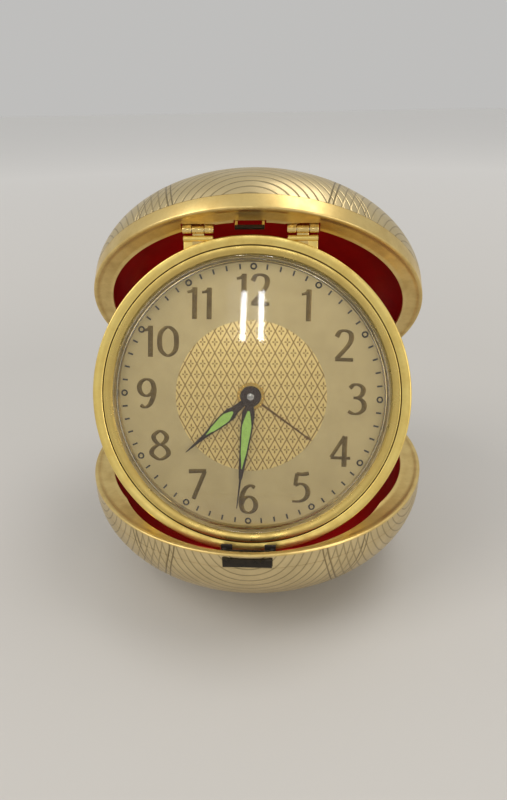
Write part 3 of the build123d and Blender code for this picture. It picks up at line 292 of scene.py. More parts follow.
def evaluated(mesh, *settings):
    """The mesh after some modifiers, each a type and its values, with nothing left live."""
    obj = bpy.data.objects.new("work", mesh)
    scene.collection.objects.link(obj)
    for kind, values in settings:
        modifier = obj.modifiers.new(kind, kind)
        for key, value in values.items():
            setattr(modifier, key, value)
    depsgraph = bpy.context.evaluated_depsgraph_get()
    result = bpy.data.meshes.new_from_object(obj.evaluated_get(depsgraph))
    bpy.data.objects.remove(obj)
    return result


def cut(mesh, *cutters):
    """The mesh with other closed meshes cut out of it."""
    tools = []
    for cutter in cutters:
        tool = bpy.data.objects.new("cutter", cutter)
        scene.collection.objects.link(tool)
        tools.append(tool)
    taken = {"operation": "DIFFERENCE", "solver": "EXACT"}
    result = evaluated(mesh, *[("BOOLEAN", {**taken, "object": tool}) for tool in tools])
    for tool in tools:
        bpy.data.objects.remove(tool)
    return result


def dome_levels(radius, wall):
    """Radius and height of each ring of a dome, from the band down to the foot."""
    depth = (HALF_DEPTH - BAND_HEIGHT - wall) / math.sin(FOOT_ANGLE)
    levels = []
    for step in range(DOME_STEPS + 1):
        angle = FOOT_ANGLE * step / DOME_STEPS
        levels.append((radius * math.cos(angle), -BAND_HEIGHT - depth * math.sin(angle)))
    return levels


def shell_outline():
    """The closed section of a shell, from its lip round the dome and back inside."""
    outside = dome_levels(CASE_RADIUS, 0)
    inside = dome_levels(CAVITY_RADIUS, SHELL_WALL)
    return (
        [(CAVITY_RADIUS, -FLANGE_WALL), (UPSTAND_RADIUS, -FLANGE_WALL), (UPSTAND_RADIUS, -BAND_HEIGHT)]
        + outside
        + [(0, -HALF_DEPTH), (0, -HALF_DEPTH + SHELL_WALL)]
        + inside[::-1]
    )


def node_group(name, inputs, outputs):
    """A shader node group with its sockets, and its inner input and output nodes."""
    tree = bpy.data.node_groups.new(name, "ShaderNodeTree")
    for label, kind, value in inputs:
        socket = tree.interface.new_socket(label, in_out="INPUT", socket_type=kind)
        if value is not None:
            socket.default_value = value
    for label, kind in outputs:
        tree.interface.new_socket(label, in_out="OUTPUT", socket_type=kind)
    return tree, tree.nodes.new("NodeGroupInput"), tree.nodes.new("NodeGroupOutput")


def maths(tree, operation, *values):
    """A math node whose inputs are numbers or sockets. It gives the output socket."""
    return new_node(tree, "ShaderNodeMath", *values, operation=operation).outputs[0]


def engine_turning():
    """Fans of engraved arcs round the rim and a rosette on the crown, each closed by a deep double line.
    Relief is 1 on the metal."""
    tree, given, result = node_group(
        "engine_turning",
        [("Place", "NodeSocketVector", None), ("Pitch", "NodeSocketFloat", FAN_PITCH),
         ("Fan Radius", "NodeSocketFloat", FAN_RADIUS)],
        [("Relief", "NodeSocketFloat")],
    )
    reach = CASE_RADIUS * 1000
    centres = [((0, 0, -HALF_DEPTH * 1000), CROWN_SMALLER)]
    for fan in range(FAN_COUNT):
        angle = math.pi / 2 + 2 * math.pi * fan / FAN_COUNT
        centres.append(((reach * math.cos(angle), reach * math.sin(angle), FAN_LIFT), 0))
    relief = None
    place = given.outputs["Place"]
    half_pitch = maths(tree, "DIVIDE", given.outputs["Pitch"], 2)
    for centre, smaller in centres:
        apart = new_node(tree, "ShaderNodeVectorMath", place, centre, operation="DISTANCE").outputs["Value"]
        rings = maths(tree, "PINGPONG", apart, half_pitch)
        groove = maths(tree, "SMOOTH_MIN", maths(tree, "MULTIPLY", rings, 4.5), 1.0, 0.3)
        inset = maths(tree, "SUBTRACT", maths(tree, "ADD", apart, smaller), given.outputs["Fan Radius"])
        outside = maths(tree, "GREATER_THAN", inset, 0.0)
        shallow = maths(tree, "MAXIMUM", maths(tree, "MULTIPLY_ADD", groove, 0.6, 0.4), outside)
        pair = maths(tree, "ABSOLUTE", maths(tree, "ADD", inset, FAN_EDGE_GAP))
        edge = maths(tree, "ABSOLUTE", maths(tree, "SUBTRACT", pair, FAN_EDGE_GAP))
        closing = maths(tree, "MINIMUM", maths(tree, "MULTIPLY", edge, 5.0), 1.0)
        here = maths(tree, "MINIMUM", shallow, closing)
        relief = here if relief is None else maths(tree, "MINIMUM", relief, here)
    tree.links.new(relief, result.inputs["Relief"])
    return tree


def handling():
    """Faint clouding and fine scratches from handling. Shade is 0 on clean metal and 1 where it is dull."""
    tree, given, result = node_group(
        "handling",
        [("Place", "NodeSocketVector", None), ("Cloud Scale", "NodeSocketFloat", 0.18),
         ("Scratch Scale", "NodeSocketFloat", 1.6)],
        [("Shade", "NodeSocketFloat"), ("Scratches", "NodeSocketFloat")],
    )
    ask = given.outputs
    cloud = new_node(tree, "ShaderNodeTexNoise", Vector=ask["Place"], Scale=ask["Cloud Scale"],
                     Detail=5, Roughness=0.62)
    spread = new_node(tree, "ShaderNodeMapRange", Value=cloud.outputs["Fac"], From_Min=0.38, From_Max=0.68)
    stretch = new_node(tree, "ShaderNodeMapping", Vector=ask["Place"], Scale=(1.0, 7.0, 2.0),
                       Rotation=(0.3, 0.2, 0.9))
    scratch = new_node(tree, "ShaderNodeTexNoise", Vector=stretch.outputs["Vector"],
                       Scale=ask["Scratch Scale"], Detail=3)
    tree.links.new(spread.outputs["Result"], result.inputs["Shade"])
    tree.links.new(scratch.outputs["Fac"], result.inputs["Scratches"])
    return tree


HANDLING = handling()
ENGINE_TURNING = engine_turning()


def finish(name, metallic, roughness, **sockets):
    """A new material with a plain shader, its node tree and that shader."""
    material = bpy.data.materials.new(name)
    material.use_nodes = True
    tree = material.node_tree
    shader = tree.nodes["Principled BSDF"]
    shader.inputs["Metallic"].default_value = metallic
    shader.inputs["Roughness"].default_value = roughness
    for label, value in sockets.items():
        shader.inputs[label.replace("_", " ")].default_value = value
    return material, tree, shader


def local_place(tree):
    """The piece's own place in millimetres."""
    node = tree.nodes.new("ShaderNodeAttribute")
    node.attribute_name = "local"
    return node.outputs["Vector"]


def model_place(tree):
    """The place in the whole model, in millimetres, for the pieces that keep the CAD's mesh."""
    coordinates = tree.nodes.new("ShaderNodeTexCoord")
    place = coordinates.outputs["Object"]
    return new_node(tree, "ShaderNodeVectorMath", place, operation="SCALE", Scale=1000).outputs["Vector"]


def grouped(tree, group, place, **values):
    """An instance of a shared group, fed with a place and its own values."""
    node = tree.nodes.new("ShaderNodeGroup")
    node.node_tree = group
    tree.links.new(place, node.inputs["Place"])
    for label, value in values.items():
        node.inputs[label.replace("_", " ")].default_value = value
    return node


def ranged(tree, factor, low, high):
    """A number between two, by a factor socket."""
    return new_node(tree, "ShaderNodeMapRange", Value=factor, To_Min=low, To_Max=high).outputs["Result"]


def bumped(tree, shader, height, distance, strength=1.0):
    """Relief of the surface from a height socket."""
    node = new_node(tree, "ShaderNodeBump", Height=height, Distance=distance, Strength=strength)
    tree.links.new(node.outputs["Normal"], shader.inputs["Normal"])
    return node


def worn(name, metallic, colours, rough, relief=None, place=local_place, scales=(0.22, 4.0), **sockets):
    """A finish clouded and scratched by handling, from its clean and dull colours and roughnesses."""
    material, tree, shader = finish(name, metallic, rough[0], **sockets)
    wear = grouped(tree, HANDLING, place(tree), Cloud_Scale=scales[0], Scratch_Scale=scales[1])
    tree.links.new(blended(tree, wear.outputs["Shade"], *colours), shader.inputs["Base Color"])
    tree.links.new(ranged(tree, wear.outputs["Shade"], *rough), shader.inputs["Roughness"])
    if relief:
        bumped(tree, shader, wear.outputs["Scratches"], *relief)
    return material


def champagne_shell():
    """Pale satin gold plate with the engine-turned arcs."""
    material, tree, shader = finish("champagne_shell", 1.0, 0.34)
    place = local_place(tree)
    arcs = grouped(tree, ENGINE_TURNING, place)
    wear = grouped(tree, HANDLING, place)
    plate = blended(tree, wear.outputs["Shade"], CHAMPAGNE, tuple(0.86 * c for c in CHAMPAGNE))
    tree.links.new(blended(tree, arcs.outputs["Relief"], CHAMPAGNE_LOW, plate), shader.inputs["Base Color"])
    tree.links.new(ranged(tree, wear.outputs["Shade"], 0.30, 0.42), shader.inputs["Roughness"])
    bumped(tree, shader, arcs.outputs["Relief"], FAN_RELIEF)
    return material


CHAMPAGNE_SHELL = champagne_shell()
BUTTON_WIDTH = 0.0093
BUTTON_HEIGHT = 0.0018
LATCH_CLEAR = 0.0001
BUTTON_MIDDLE = -FLANGE_WALL - 2 * LATCH_CLEAR - BUTTON_HEIGHT / 2


def latch_window():
    """The cutter of the slot that the latch button works in."""
    half = BUTTON_WIDTH / 2 + LATCH_CLEAR
    rise = BUTTON_HEIGHT / 2 + LATCH_CLEAR
    heights = (BUTTON_MIDDLE - rise, BUTTON_MIDDLE + rise)
    return block(BASE, (-half, half), (CAVITY_RADIUS - 2 * SHELL_WALL, CASE_RADIUS + SHELL_WALL), heights)


lower_shell_mesh = cut(turned(BASE, shell_outline()), latch_window())
piece("lower_shell_plate", lower_shell_mesh, BASE, CHAMPAGNE_SHELL, "base", "shell", "lower_shell")

# Lower lining: a thin bowl pressed from deep red vinyl sheet with a faint grain. It drops into the shell
# and the rim's flange holds its edge down. Its front is open where the latch works.
LINING_WALL = 0.0004
LINING_RADIUS = CAVITY_RADIUS - LINING_WALL
LINING_RED = (0.56, 0.004, 0.005, 1.0)
LINING_DARK = (0.40, 0.002, 0.003, 1.0)
POCKET_SIDE = 0.00195
POCKET_HALF = BUTTON_WIDTH / 2 + POCKET_SIDE
POCKET_FLOOR = 0.0034
POCKET_REACH = 0.002


def lining_outline():
    """The closed section of a lining."""
    outside = dome_levels(CAVITY_RADIUS - LATCH_CLEAR / 2, SHELL_WALL + LATCH_CLEAR / 2)
    inside = dome_levels(LINING_RADIUS, SHELL_WALL + LINING_WALL)
    floor_out = -HALF_DEPTH + SHELL_WALL + LATCH_CLEAR / 2
    floor_in = -HALF_DEPTH + SHELL_WALL + LINING_WALL
    return (
        [(LINING_RADIUS, -FLANGE_WALL), (CAVITY_RADIUS - LATCH_CLEAR / 2, -FLANGE_WALL)]
        + outside
        + [(0, floor_out), (0, floor_in)]
        + inside[::-1]
    )


def red_vinyl():
    """Deep red vinyl with a fine pressed grain."""
    material, tree, shader = finish("red_vinyl", 0.0, 0.38, Specular_IOR_Level=0.45, Coat_Weight=0.12)
    place = local_place(tree)
    wear = grouped(tree, HANDLING, place, Cloud_Scale=0.12, Scratch_Scale=0.8)
    grain = tree.nodes.new("ShaderNodeTexVoronoi")
    grain.inputs["Scale"].default_value = 3.2
    tree.links.new(place, grain.inputs["Vector"])
    colour = blended(tree, wear.outputs["Shade"], LINING_RED, LINING_DARK)
    tree.links.new(colour, shader.inputs["Base Color"])
    tree.links.new(ranged(tree, wear.outputs["Scratches"], 0.30, 0.46), shader.inputs["Roughness"])
    bumped(tree, shader, grain.outputs["Distance"], 0.00004, 0.5)
    return material


RED_VINYL = red_vinyl()
pocket = block(
    BASE,
    (-POCKET_HALF, POCKET_HALF),
    (LINING_RADIUS - POCKET_REACH, CASE_RADIUS),
    (-POCKET_FLOOR, 0),
)
lower_lining_mesh = cut(turned(BASE, lining_outline()), pocket)
piece("lower_lining_bowl", lower_lining_mesh, BASE, RED_VINYL, "base", "lining", "lower_lining")

# Lower rim: a drawn brass band pressed over the shell's upstand, engraved outside like the shell. Its inward
# flange is polished gold, notched for the head's hinges and the catch, which lie over it when the clock is
# shut, and scooped at the front, where the open head dips in.
FLANGE_INNER = 0.0336
RIM_CORNER = 0.00035
RIM_BEAD = 0.0007
RIM_DISH = 0.00018
BAND_EDGE = 0.0001
HEAD_HINGE_X = 0.010
HEAD_HINGE_HALF = 0.003
NOTCH_CLEAR = 0.0003
NOTCH_DEPTH = 0.004
HEAD_BARREL = 0.00072
PIVOT_RADIUS = 0.03213
CATCH_HALF = 0.0028
CATCH_FRONT = 0.03405
GOLD = (0.84, 0.63, 0.25, 1.0)
GOLD_DULL = (0.68, 0.49, 0.18, 1.0)


def corner(before, at, after, radius, steps=5):
    """The points of a rounded corner of an outline."""
    at = Vector(at)
    start = at + (Vector(before) - at).normalized() * radius
    end = at + (Vector(after) - at).normalized() * radius
    points = []
    for step in range(steps + 1):
        share = step / steps
        points.append(tuple(start * (1 - share) ** 2 + at * 2 * share * (1 - share) + end * share ** 2))
    return points


def softened(outline, radii):
    """An outline with rounded corners. A radius of 0 keeps the corner."""
    points = []
    for index, (at, radius) in enumerate(zip(outline, radii)):
        if radius == 0:
            points.append(at)
            continue
        points += corner(outline[index - 1], at, outline[(index + 1) % len(outline)], radius)
    return points


def rim_outline():
    """The closed section of a rim: band, outer bead, dished flange and its inner lip."""
    bead = CASE_RADIUS - RIM_BEAD
    outline = [
        (FLANGE_INNER, -FLANGE_WALL),
        (FLANGE_INNER, 0),
        (FLANGE_INNER + RIM_BEAD, -RIM_DISH),
        (bead - RIM_BEAD, -RIM_DISH),
        (bead, 0),
        (CASE_RADIUS, 0),
        (CASE_RADIUS, -BAND_HEIGHT),
        (UPSTAND_RADIUS, -BAND_HEIGHT),
        (UPSTAND_RADIUS, -FLANGE_WALL),
    ]
    half = RIM_CORNER / 2
    return softened(outline, [0, half, RIM_CORNER, RIM_CORNER, half, RIM_CORNER, BAND_EDGE, 0, 0])


def rim_notches(place):
    """The cutters of a rim's notches for the head's hinges and the catch."""
    half = HEAD_HINGE_HALF + NOTCH_CLEAR
    top = PIVOT_RADIUS + HEAD_BARREL + NOTCH_CLEAR
    heights = (-BAND_HEIGHT / 2, BAND_HEIGHT)
    cutters = []
    for side in (-1, 1):
        middle = side * HEAD_HINGE_X
        cutters.append(block(place, (middle - half, middle + half), (top - NOTCH_DEPTH, top), heights))
    wide = CATCH_HALF + NOTCH_CLEAR
    front = CATCH_FRONT + LATCH_CLEAR
    cutters.append(block(place, (-wide, wide), (front - NOTCH_DEPTH, front), heights))
    return cutters


def polished_gold(name, low, high, bright=GOLD, dull=GOLD_DULL):
    """Polished yellow gold plate with clouding and hairlines, on pieces that know their own place."""
    return worn(name, 1.0, (bright, dull), (low, high), (0.00001, 0.12))


RIM_GOLD = polished_gold("rim_gold", 0.30, 0.42)
SCOOP_RADIUS = 0.0300
SCOOP_FRONT = CASE_RADIUS - 0.0011
SCOOP_DEPTH = 0.0009
SCOOP_RISE = 0.001
scoop_frame = BASE @ Matrix.Translation((0, SCOOP_FRONT - SCOOP_RADIUS, 0))
scoop_outline = [
    (0, -SCOOP_DEPTH), (SCOOP_RADIUS, -SCOOP_DEPTH), (SCOOP_RADIUS, SCOOP_RISE), (0, SCOOP_RISE),
]
scoop = turned(scoop_frame, scoop_outline)
lower_rim_mesh = cut(turned(BASE, rim_outline()), latch_window(), scoop, *rim_notches(BASE))
to_base = BASE.inverted()
for polygon in lower_rim_mesh.polygons:
    spot = to_base @ polygon.center
    outside = math.hypot(spot.x, spot.y) > CASE_RADIUS - BAND_EDGE and spot.z < -RIM_CORNER
    polygon.material_index = int(outside)
piece("lower_rim_band", lower_rim_mesh, BASE, (RIM_GOLD, CHAMPAGNE_SHELL), "base", "gold", "lower_rim")

# Case hinge: three knuckles of the two leaves on one steel pin, at the back of the rims. The leaves are
# soldered to the bands and plated with them.


def cad_finish(name, metallic, bright, dull, low, high):
    """A metal for pieces that keep the CAD's mesh, clouded by handling."""
    return worn(name, metallic, (bright, dull), (low, high), (0.00002, 0.3), model_place, (0.5, 2.5))


def dress(material, *names):
    """Give CAD nodes a finish."""
    for name in names:
        for slot in nodes[name].material_slots:
            slot.material = material


HINGE_GOLD = cad_finish("hinge_gold", 1.0, GOLD, GOLD_DULL, 0.20, 0.36)
STEEL = cad_finish("steel", 1.0, (0.56, 0.56, 0.55, 1.0), (0.38, 0.37, 0.35, 1.0), 0.22, 0.40)
HINGE_EDGE = 0.00012
MERGE_REACH = 0.000002
FLAT_ANGLE = 0.01
BEVEL_ANGLE = math.radians(40)


def cad_copy(name):
    """A merged copy of a node's mesh."""
    mesh = nodes[name].data.copy()
    shape = bmesh.new()
    shape.from_mesh(mesh)
    bmesh.ops.remove_doubles(shape, verts=shape.verts, dist=MERGE_REACH)
    bmesh.ops.dissolve_limit(shape, angle_limit=FLAT_ANGLE, verts=shape.verts, edges=shape.edges)
    shape.to_mesh(mesh)
    shape.free()
    return mesh


def bevelled(mesh, width, segments=2):
    """The mesh with its sharp edges rounded."""
    limit = {"limit_method": "ANGLE", "angle_limit": BEVEL_ANGLE}
    return evaluated(mesh, ("BEVEL", {"width": width, "segments": segments, **limit}))


def eased(name, place, material, body, slot, width):
    """A CAD piece with its sharp edges rounded."""
    return piece(name + "_eased", bevelled(cad_copy(name), width), place, material, body, slot, name)


eased("base_hinge", BASE, HINGE_GOLD, "base", "gold", HINGE_EDGE)
eased("lid_hinge", BASE, HINGE_GOLD, "lid", "gold", HINGE_EDGE)
eased("hinge_pin", BASE, STEEL, "base", "steel", HINGE_EDGE)

# Latch: a moulded black button in the front of the band, pushed out by two small coil springs. They stand
# against a folded steel bracket under the flange.
SPRING_WIRE = 0.00010
SPRING_TURNS = 4
SPRING_STEPS = 14
WIRE_SIDES = 6
BUTTON_EDGE = 0.00025
BLACK = (0.012, 0.008, 0.004, 1.0)
BLACK_DULL = (0.022, 0.015, 0.008, 1.0)


def skinned(shape, rings):
    """Faces from each ring of points to the next and over both ends. It gives the faces."""
    made = [shape.faces.new(rings[0]), shape.faces.new(rings[-1])]
    for first, second in zip(rings, rings[1:]):
        for index in range(len(first)):
            after = (index + 1) % len(first)
            made.append(shape.faces.new((first[index], first[after], second[after], second[index])))
    return made


def coil(place, x, radius, length, wire, turns, steps):
    """A coil spring along the frame's z axis, beside it by a distance."""
    shape = bmesh.new()
    rings = []
    for step in range(turns * steps + 1):
        angle = 2 * math.pi * step / steps
        out = Vector((math.cos(angle), math.sin(angle), 0))
        rise = wire + (length - 2 * wire) * step / (turns * steps)
        centre = Vector((x, 0, rise)) + out * (radius - wire)
        ring = []
        for side in range(WIRE_SIDES):
            turn = 2 * math.pi * side / WIRE_SIDES
            around = out * math.cos(turn) + Vector((0, 0, math.sin(turn)))
            ring.append(shape.verts.new(centre + around * wire))
        rings.append(ring)
    skinned(shape, rings)
    return meshed(shape, "coil", place)


def joined(*meshes):
    """Several meshes as one."""
    shape = bmesh.new()
    for mesh in meshes:
        shape.from_mesh(mesh)
    result = bpy.data.meshes.new("joined")
    shape.to_mesh(result)
    shape.free()
    return result


MOULDED_BLACK = worn("moulded_black", 0.0, (BLACK, BLACK_DULL), (0.25, 0.42), (0.00002, 0.3), local_place,
                     (0.9, 3.0), Specular_IOR_Level=0.25)
BROWNED = cad_finish("browned_steel", 0.3, (0.030, 0.022, 0.016, 1.0), (0.022, 0.016, 0.012, 1.0), 0.6, 0.75)
# The catch nose's dark steel is made darker still as painted shade under the flange.
DARK_STEEL_AND_SHADE = cad_finish("dark_steel", 1.0, (0.060, 0.045, 0.033, 1.0), (0.035, 0.027, 0.02, 1.0), 0.28, 0.45)
button_mesh = bevelled(cad_copy("latch_button"), BUTTON_EDGE, 3)
piece("latch_button_cap", button_mesh, BASE, MOULDED_BLACK, "latch", "black_plastic", "latch_button")
eased("latch_bracket", BASE, BROWNED, "base", "steel", SPRING_WIRE)
spring_low, spring_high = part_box("latch_spring")
SPRING_RADIUS = (spring_high.z - spring_low.z) / 2
spring_frame = placed((0, spring_high.y, (spring_low.z + spring_high.z) / 2), (1, 0, 0), (0, -1, 0))
spring_x = spring_high.x - SPRING_RADIUS
spring_length = spring_high.y - spring_low.y
spring_meshes = [
    coil(spring_frame, x, SPRING_RADIUS, spring_length, SPRING_WIRE, SPRING_TURNS, SPRING_STEPS)
    for x in (-spring_x, spring_x)
]
latch_coils = piece("latch_coils", joined(*spring_meshes), BASE, BROWNED, "base", "steel", "latch_spring")
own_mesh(latch_coils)

# Lid: the upper half is made from the same shell, lining and rim as the lower one, without the latch's slot.
# It hangs open on the case hinge.
RIM_GAP = 0.0003
lid_fold = joints["lid_fold"]
hinge = Vector(lid_fold["pos_m"])
LID_OPEN = math.radians(lid_fold["range_deg"][1])
LID = (
    Matrix.Translation(hinge)
    @ Matrix.Rotation(-LID_OPEN, 4, "X")
    @ Matrix.Translation(-hinge)
    @ placed((0, 0, HALF_DEPTH + RIM_GAP), (1, 0, 0), (0, 0, -1))
)
piece("upper_shell_plate", turned(LID, shell_outline()), LID, CHAMPAGNE_SHELL, "lid", "shell", "upper_shell")
piece("upper_lining_bowl", turned(LID, lining_outline()), LID, RED_VINYL, "lid", "lining", "upper_lining")
upper_rim_mesh = cut(turned(LID, rim_outline()), *rim_notches(LID))
piece("upper_rim_band", upper_rim_mesh, LID, RIM_GOLD, "lid", "gold", "upper_rim")

# Lid catch: a spring steel tongue under the lid's flange, with a window pressed out of it. Its sides are
# gilt, and its nose snaps over the latch. The nose's dark colour is partly its own steel and partly painted
# shade under the flange.
WINDOW_HALF = 0.0023
WINDOW_FOOT = -0.0004
WINDOW_REACH = 0.001
NOSE_LEVEL = 0.00095
NOSE_MARGIN = 0.00002
CATCH_EDGE = 0.00006
catch_depths = (CATCH_FRONT - WINDOW_REACH, CATCH_FRONT + WINDOW_REACH)
catch_window = block(LID, (-WINDOW_HALF, WINDOW_HALF), catch_depths, (WINDOW_FOOT, NOSE_LEVEL))
catch_mesh = bevelled(cut(cad_copy("lid_catch"), catch_window), CATCH_EDGE, 1)
to_lid = LID.inverted()
# The nose's faces take the dark steel with its painted shade.
for polygon in catch_mesh.polygons:
    polygon.material_index = int((to_lid @ polygon.center).z > NOSE_LEVEL - NOSE_MARGIN)
catch_finishes = (HINGE_GOLD, DARK_STEEL_AND_SHADE)
piece("lid_catch_tongue", catch_mesh, LID, catch_finishes, "lid", "dark_steel", "lid_catch")

# Head hinge: brass brackets riveted under the lid's flange, with rolled ears round the knuckles of the head
# and a steel pin in each.
BRASS = cad_finish("brass", 1.0, (0.70, 0.48, 0.18, 1.0), (0.46, 0.30, 0.11, 1.0), 0.24, 0.42)
eased("head_brackets", LID, HINGE_GOLD, "lid", "gold", HINGE_EDGE)
eased("head_knuckles", LID, HINGE_GOLD, "head", "gold", HINGE_EDGE)
dress(STEEL, "head_hinge_pins")

# Movement: two plates on pillars with the springs, the trains and the escapement between them. Brass wheels
# and steel arbors, all inside the drum.
dress(BRASS, "front_plate", "rear_plate", "plate_pillars", "cover_posts", "time_barrel", "alarm_barrel")
dress(BRASS, "centre_wheel", "third_wheel", "fourth_wheel", "balance_wheel", "hour_wheel", "alarm_wheel")
dress(BRASS, "minute_wheel", "cannon_pinion")
dress(STEEL, "time_mainspring", "alarm_mainspring", "escape_wheel", "pallet_lever", "hairspring")
dress(STEEL, "regulator", "alarm_hammer")

# Head case: a deep brass drum with a flat back cover held by three screws. The drum is plated and satin.
CASE_BRASS = cad_finish("case_brass", 1.0, (0.72, 0.52, 0.22, 1.0), (0.50, 0.34, 0.14, 1.0), 0.26, 0.42)
DRUM_EDGE = 0.00025
COVER_EDGE = 0.0002
eased("drum", LID, CASE_BRASS, "head", "case_brass", DRUM_EDGE)
eased("back_cover", LID, CASE_BRASS, "head", "case_brass", COVER_EDGE)

# Dial: a flat brass disc in satin champagne. Its centre is a brighter gold, engraved with a lattice of tall
# lozenges that each hold a small four-petal figure.
minute_turn = joints["minute_turn"]
HEAD = placed(minute_turn["pos_m"], (1, 0, 0), -Vector(minute_turn["axis"]))
DIAL_LEVEL = -0.0022
DIAL_WALL = 0.0004
DIAL_RADIUS = 0.0277
DIAL_HOLE = 0.0021
LATTICE_RADIUS = 15.1
LATTICE_WIDTH = 2.4
LATTICE_HEIGHT = 4.3
DIAL_CHAMPAGNE = (0.60, 0.48, 0.225, 1.0)
DIAL_SHADE = (0.53, 0.42, 0.19, 1.0)
LATTICE_GOLD = (0.90, 0.68, 0.25, 1.0)
LATTICE_CUT = (0.34, 0.21, 0.055, 1.0)
LATTICE_LINE = 0.055


def lattice():
    """Lozenge lines with a four-petal figure in each cell. Lines is 1 in a cut and 0 on the metal."""
    tree, given, result = node_group(
        "lattice",
        [("Place", "NodeSocketVector", None), ("Cell Width", "NodeSocketFloat", LATTICE_WIDTH),
         ("Cell Height", "NodeSocketFloat", LATTICE_HEIGHT)],
        [("Lines", "NodeSocketFloat")],
    )
    split = new_node(tree, "ShaderNodeSeparateXYZ", given.outputs["Place"])
    across = maths(tree, "DIVIDE", split.outputs["X"], given.outputs["Cell Width"])
    up = maths(tree, "DIVIDE", split.outputs["Y"], given.outputs["Cell Height"])
    first = maths(tree, "ADD", across, up)
    second = maths(tree, "SUBTRACT", across, up)
    edge_first = maths(tree, "PINGPONG", first, 0.5)
    edge_second = maths(tree, "PINGPONG", second, 0.5)
    line = maths(tree, "LESS_THAN", maths(tree, "MINIMUM", edge_first, edge_second), LATTICE_LINE)
    # a cell's middle is where both distances are a half, and its axes are across and up again
    offset_first = maths(tree, "SUBTRACT", maths(tree, "FRACT", first), 0.5)
    offset_second = maths(tree, "SUBTRACT", maths(tree, "FRACT", second), 0.5)
    cell_x = maths(tree, "ABSOLUTE", maths(tree, "ADD", offset_first, offset_second))
    cell_y = maths(tree, "ABSOLUTE", maths(tree, "SUBTRACT", offset_first, offset_second))
    petals = None
    for near, far, middle, half_long, half_wide in ((cell_x, cell_y, 0.30, 0.20, 0.075),
                                                    (cell_y, cell_x, 0.22, 0.16, 0.13)):
        along = maths(tree, "SUBTRACT", near, middle)
        reach = maths(tree, "POWER", maths(tree, "DIVIDE", along, half_long), 2)
        width = maths(tree, "POWER", maths(tree, "DIVIDE", far, half_wide), 2)
        petal = maths(tree, "LESS_THAN", maths(tree, "ADD", reach, width), 1.0)
        petals = petal if petals is None else maths(tree, "MAXIMUM", petals, petal)
    tree.links.new(maths(tree, "MAXIMUM", line, petals), result.inputs["Lines"])
    return tree


LATTICE = lattice()


def dial_plate():
    """The dial's satin champagne plate with its engraved centre."""
    material, tree, shader = finish("dial_plate", 0.55, 0.42)
    place = local_place(tree)
    split = new_node(tree, "ShaderNodeSeparateXYZ", place)
    flat = new_node(tree, "ShaderNodeCombineXYZ", split.outputs["X"], split.outputs["Y"])
    radius = new_node(tree, "ShaderNodeVectorMath", flat.outputs["Vector"], operation="LENGTH")
    centre = maths(tree, "LESS_THAN", radius.outputs["Value"], LATTICE_RADIUS)
    wear = grouped(tree, HANDLING, place, Cloud_Scale=0.15, Scratch_Scale=6.0)
    cells = grouped(tree, LATTICE, place)
    lines = maths(tree, "MULTIPLY", cells.outputs["Lines"], centre)
    satin = blended(tree, wear.outputs["Shade"], DIAL_CHAMPAGNE, DIAL_SHADE)
    plate = blended(tree, centre, satin, LATTICE_GOLD)
    tree.links.new(blended(tree, lines, plate, LATTICE_CUT), shader.inputs["Base Color"])
    tree.links.new(ranged(tree, centre, 0.46, 0.28), shader.inputs["Roughness"])
    relief = maths(tree, "SUBTRACT", maths(tree, "MULTIPLY", wear.outputs["Scratches"], 0.15), lines)
    bumped(tree, shader, relief, 0.00005, 0.6)
    return material


DIAL_PLATE = dial_plate()
dial_back = DIAL_LEVEL - DIAL_WALL
dial_outline = [
    (DIAL_HOLE, dial_back), (DIAL_RADIUS, dial_back), (DIAL_RADIUS, DIAL_LEVEL), (DIAL_HOLE, DIAL_LEVEL),
]
piece("dial_disc", turned(HEAD, dial_outline), HEAD, DIAL_PLATE, "head", "dial", "dial")

# Minute track: printed ticks at the minutes and small rings at the hours.
TRACK_RADIUS = 0.0255
PRINT_TURN = Matrix.Rotation(-math.radians(1.2), 4, "Z")
TICK_LENGTH = 0.00105
TICK_WIDTH = 0.00034
RING_RADIUS = 0.00052
RING_LINE = 0.00016
PRINT_WALL = 0.00003
PRINT = (0.018, 0.012, 0.005, 1.0)
PRINT_WORN = tuple(1.6 * c for c in PRINT[:3]) + (1.0,)
PRINT_INK = worn("print_ink", 0.0, (PRINT, PRINT_WORN), (0.38, 0.5), scales=(0.6, 1.6))


def geometry_tree(name, inputs):
    """A geometry node tree with named inputs, and its inner input and output nodes."""
    tree = bpy.data.node_groups.new(name, "GeometryNodeTree")
    for label, kind, value in inputs:
        socket = tree.interface.new_socket(label, in_out="INPUT", socket_type=kind)
        if value is not None:
            socket.default_value = value
    tree.interface.new_socket("Geometry", in_out="OUTPUT", socket_type="NodeSocketGeometry")
    return tree, tree.nodes.new("NodeGroupInput"), tree.nodes.new("NodeGroupOutput")


def grown(tree, material, place, **values):
    """The plain mesh that a geometry node tree makes with the given inputs, in a local frame."""
    obj = bpy.data.objects.new("grown", bpy.data.meshes.new("grown"))
    scene.collection.objects.link(obj)
    modifier = obj.modifiers.new("nodes", "NODES")
    modifier.node_group = tree
    for item in tree.interface.items_tree:
        if item.in_out != "INPUT":
            continue
        key = item.name.replace(" ", "_")
        if key in values:
            modifier[item.identifier] = values[key]
        if item.name == "Material":
            modifier[item.identifier] = material
    depsgraph = bpy.context.evaluated_depsgraph_get()
    mesh = bpy.data.meshes.new_from_object(obj.evaluated_get(depsgraph))
    bpy.data.objects.remove(obj)
    mesh.transform(place)
    return mesh


def facing_out(tree):
    """The rotation that turns the x axis of what stands on a point away from the middle."""
    position = tree.nodes.new("GeometryNodeInputPosition")
    align = new_node(tree, "FunctionNodeAlignRotationToVector", Vector=position.outputs[0])
    align.axis = "X"
    align.pivot_axis = "Z"
    return align.outputs["Rotation"]


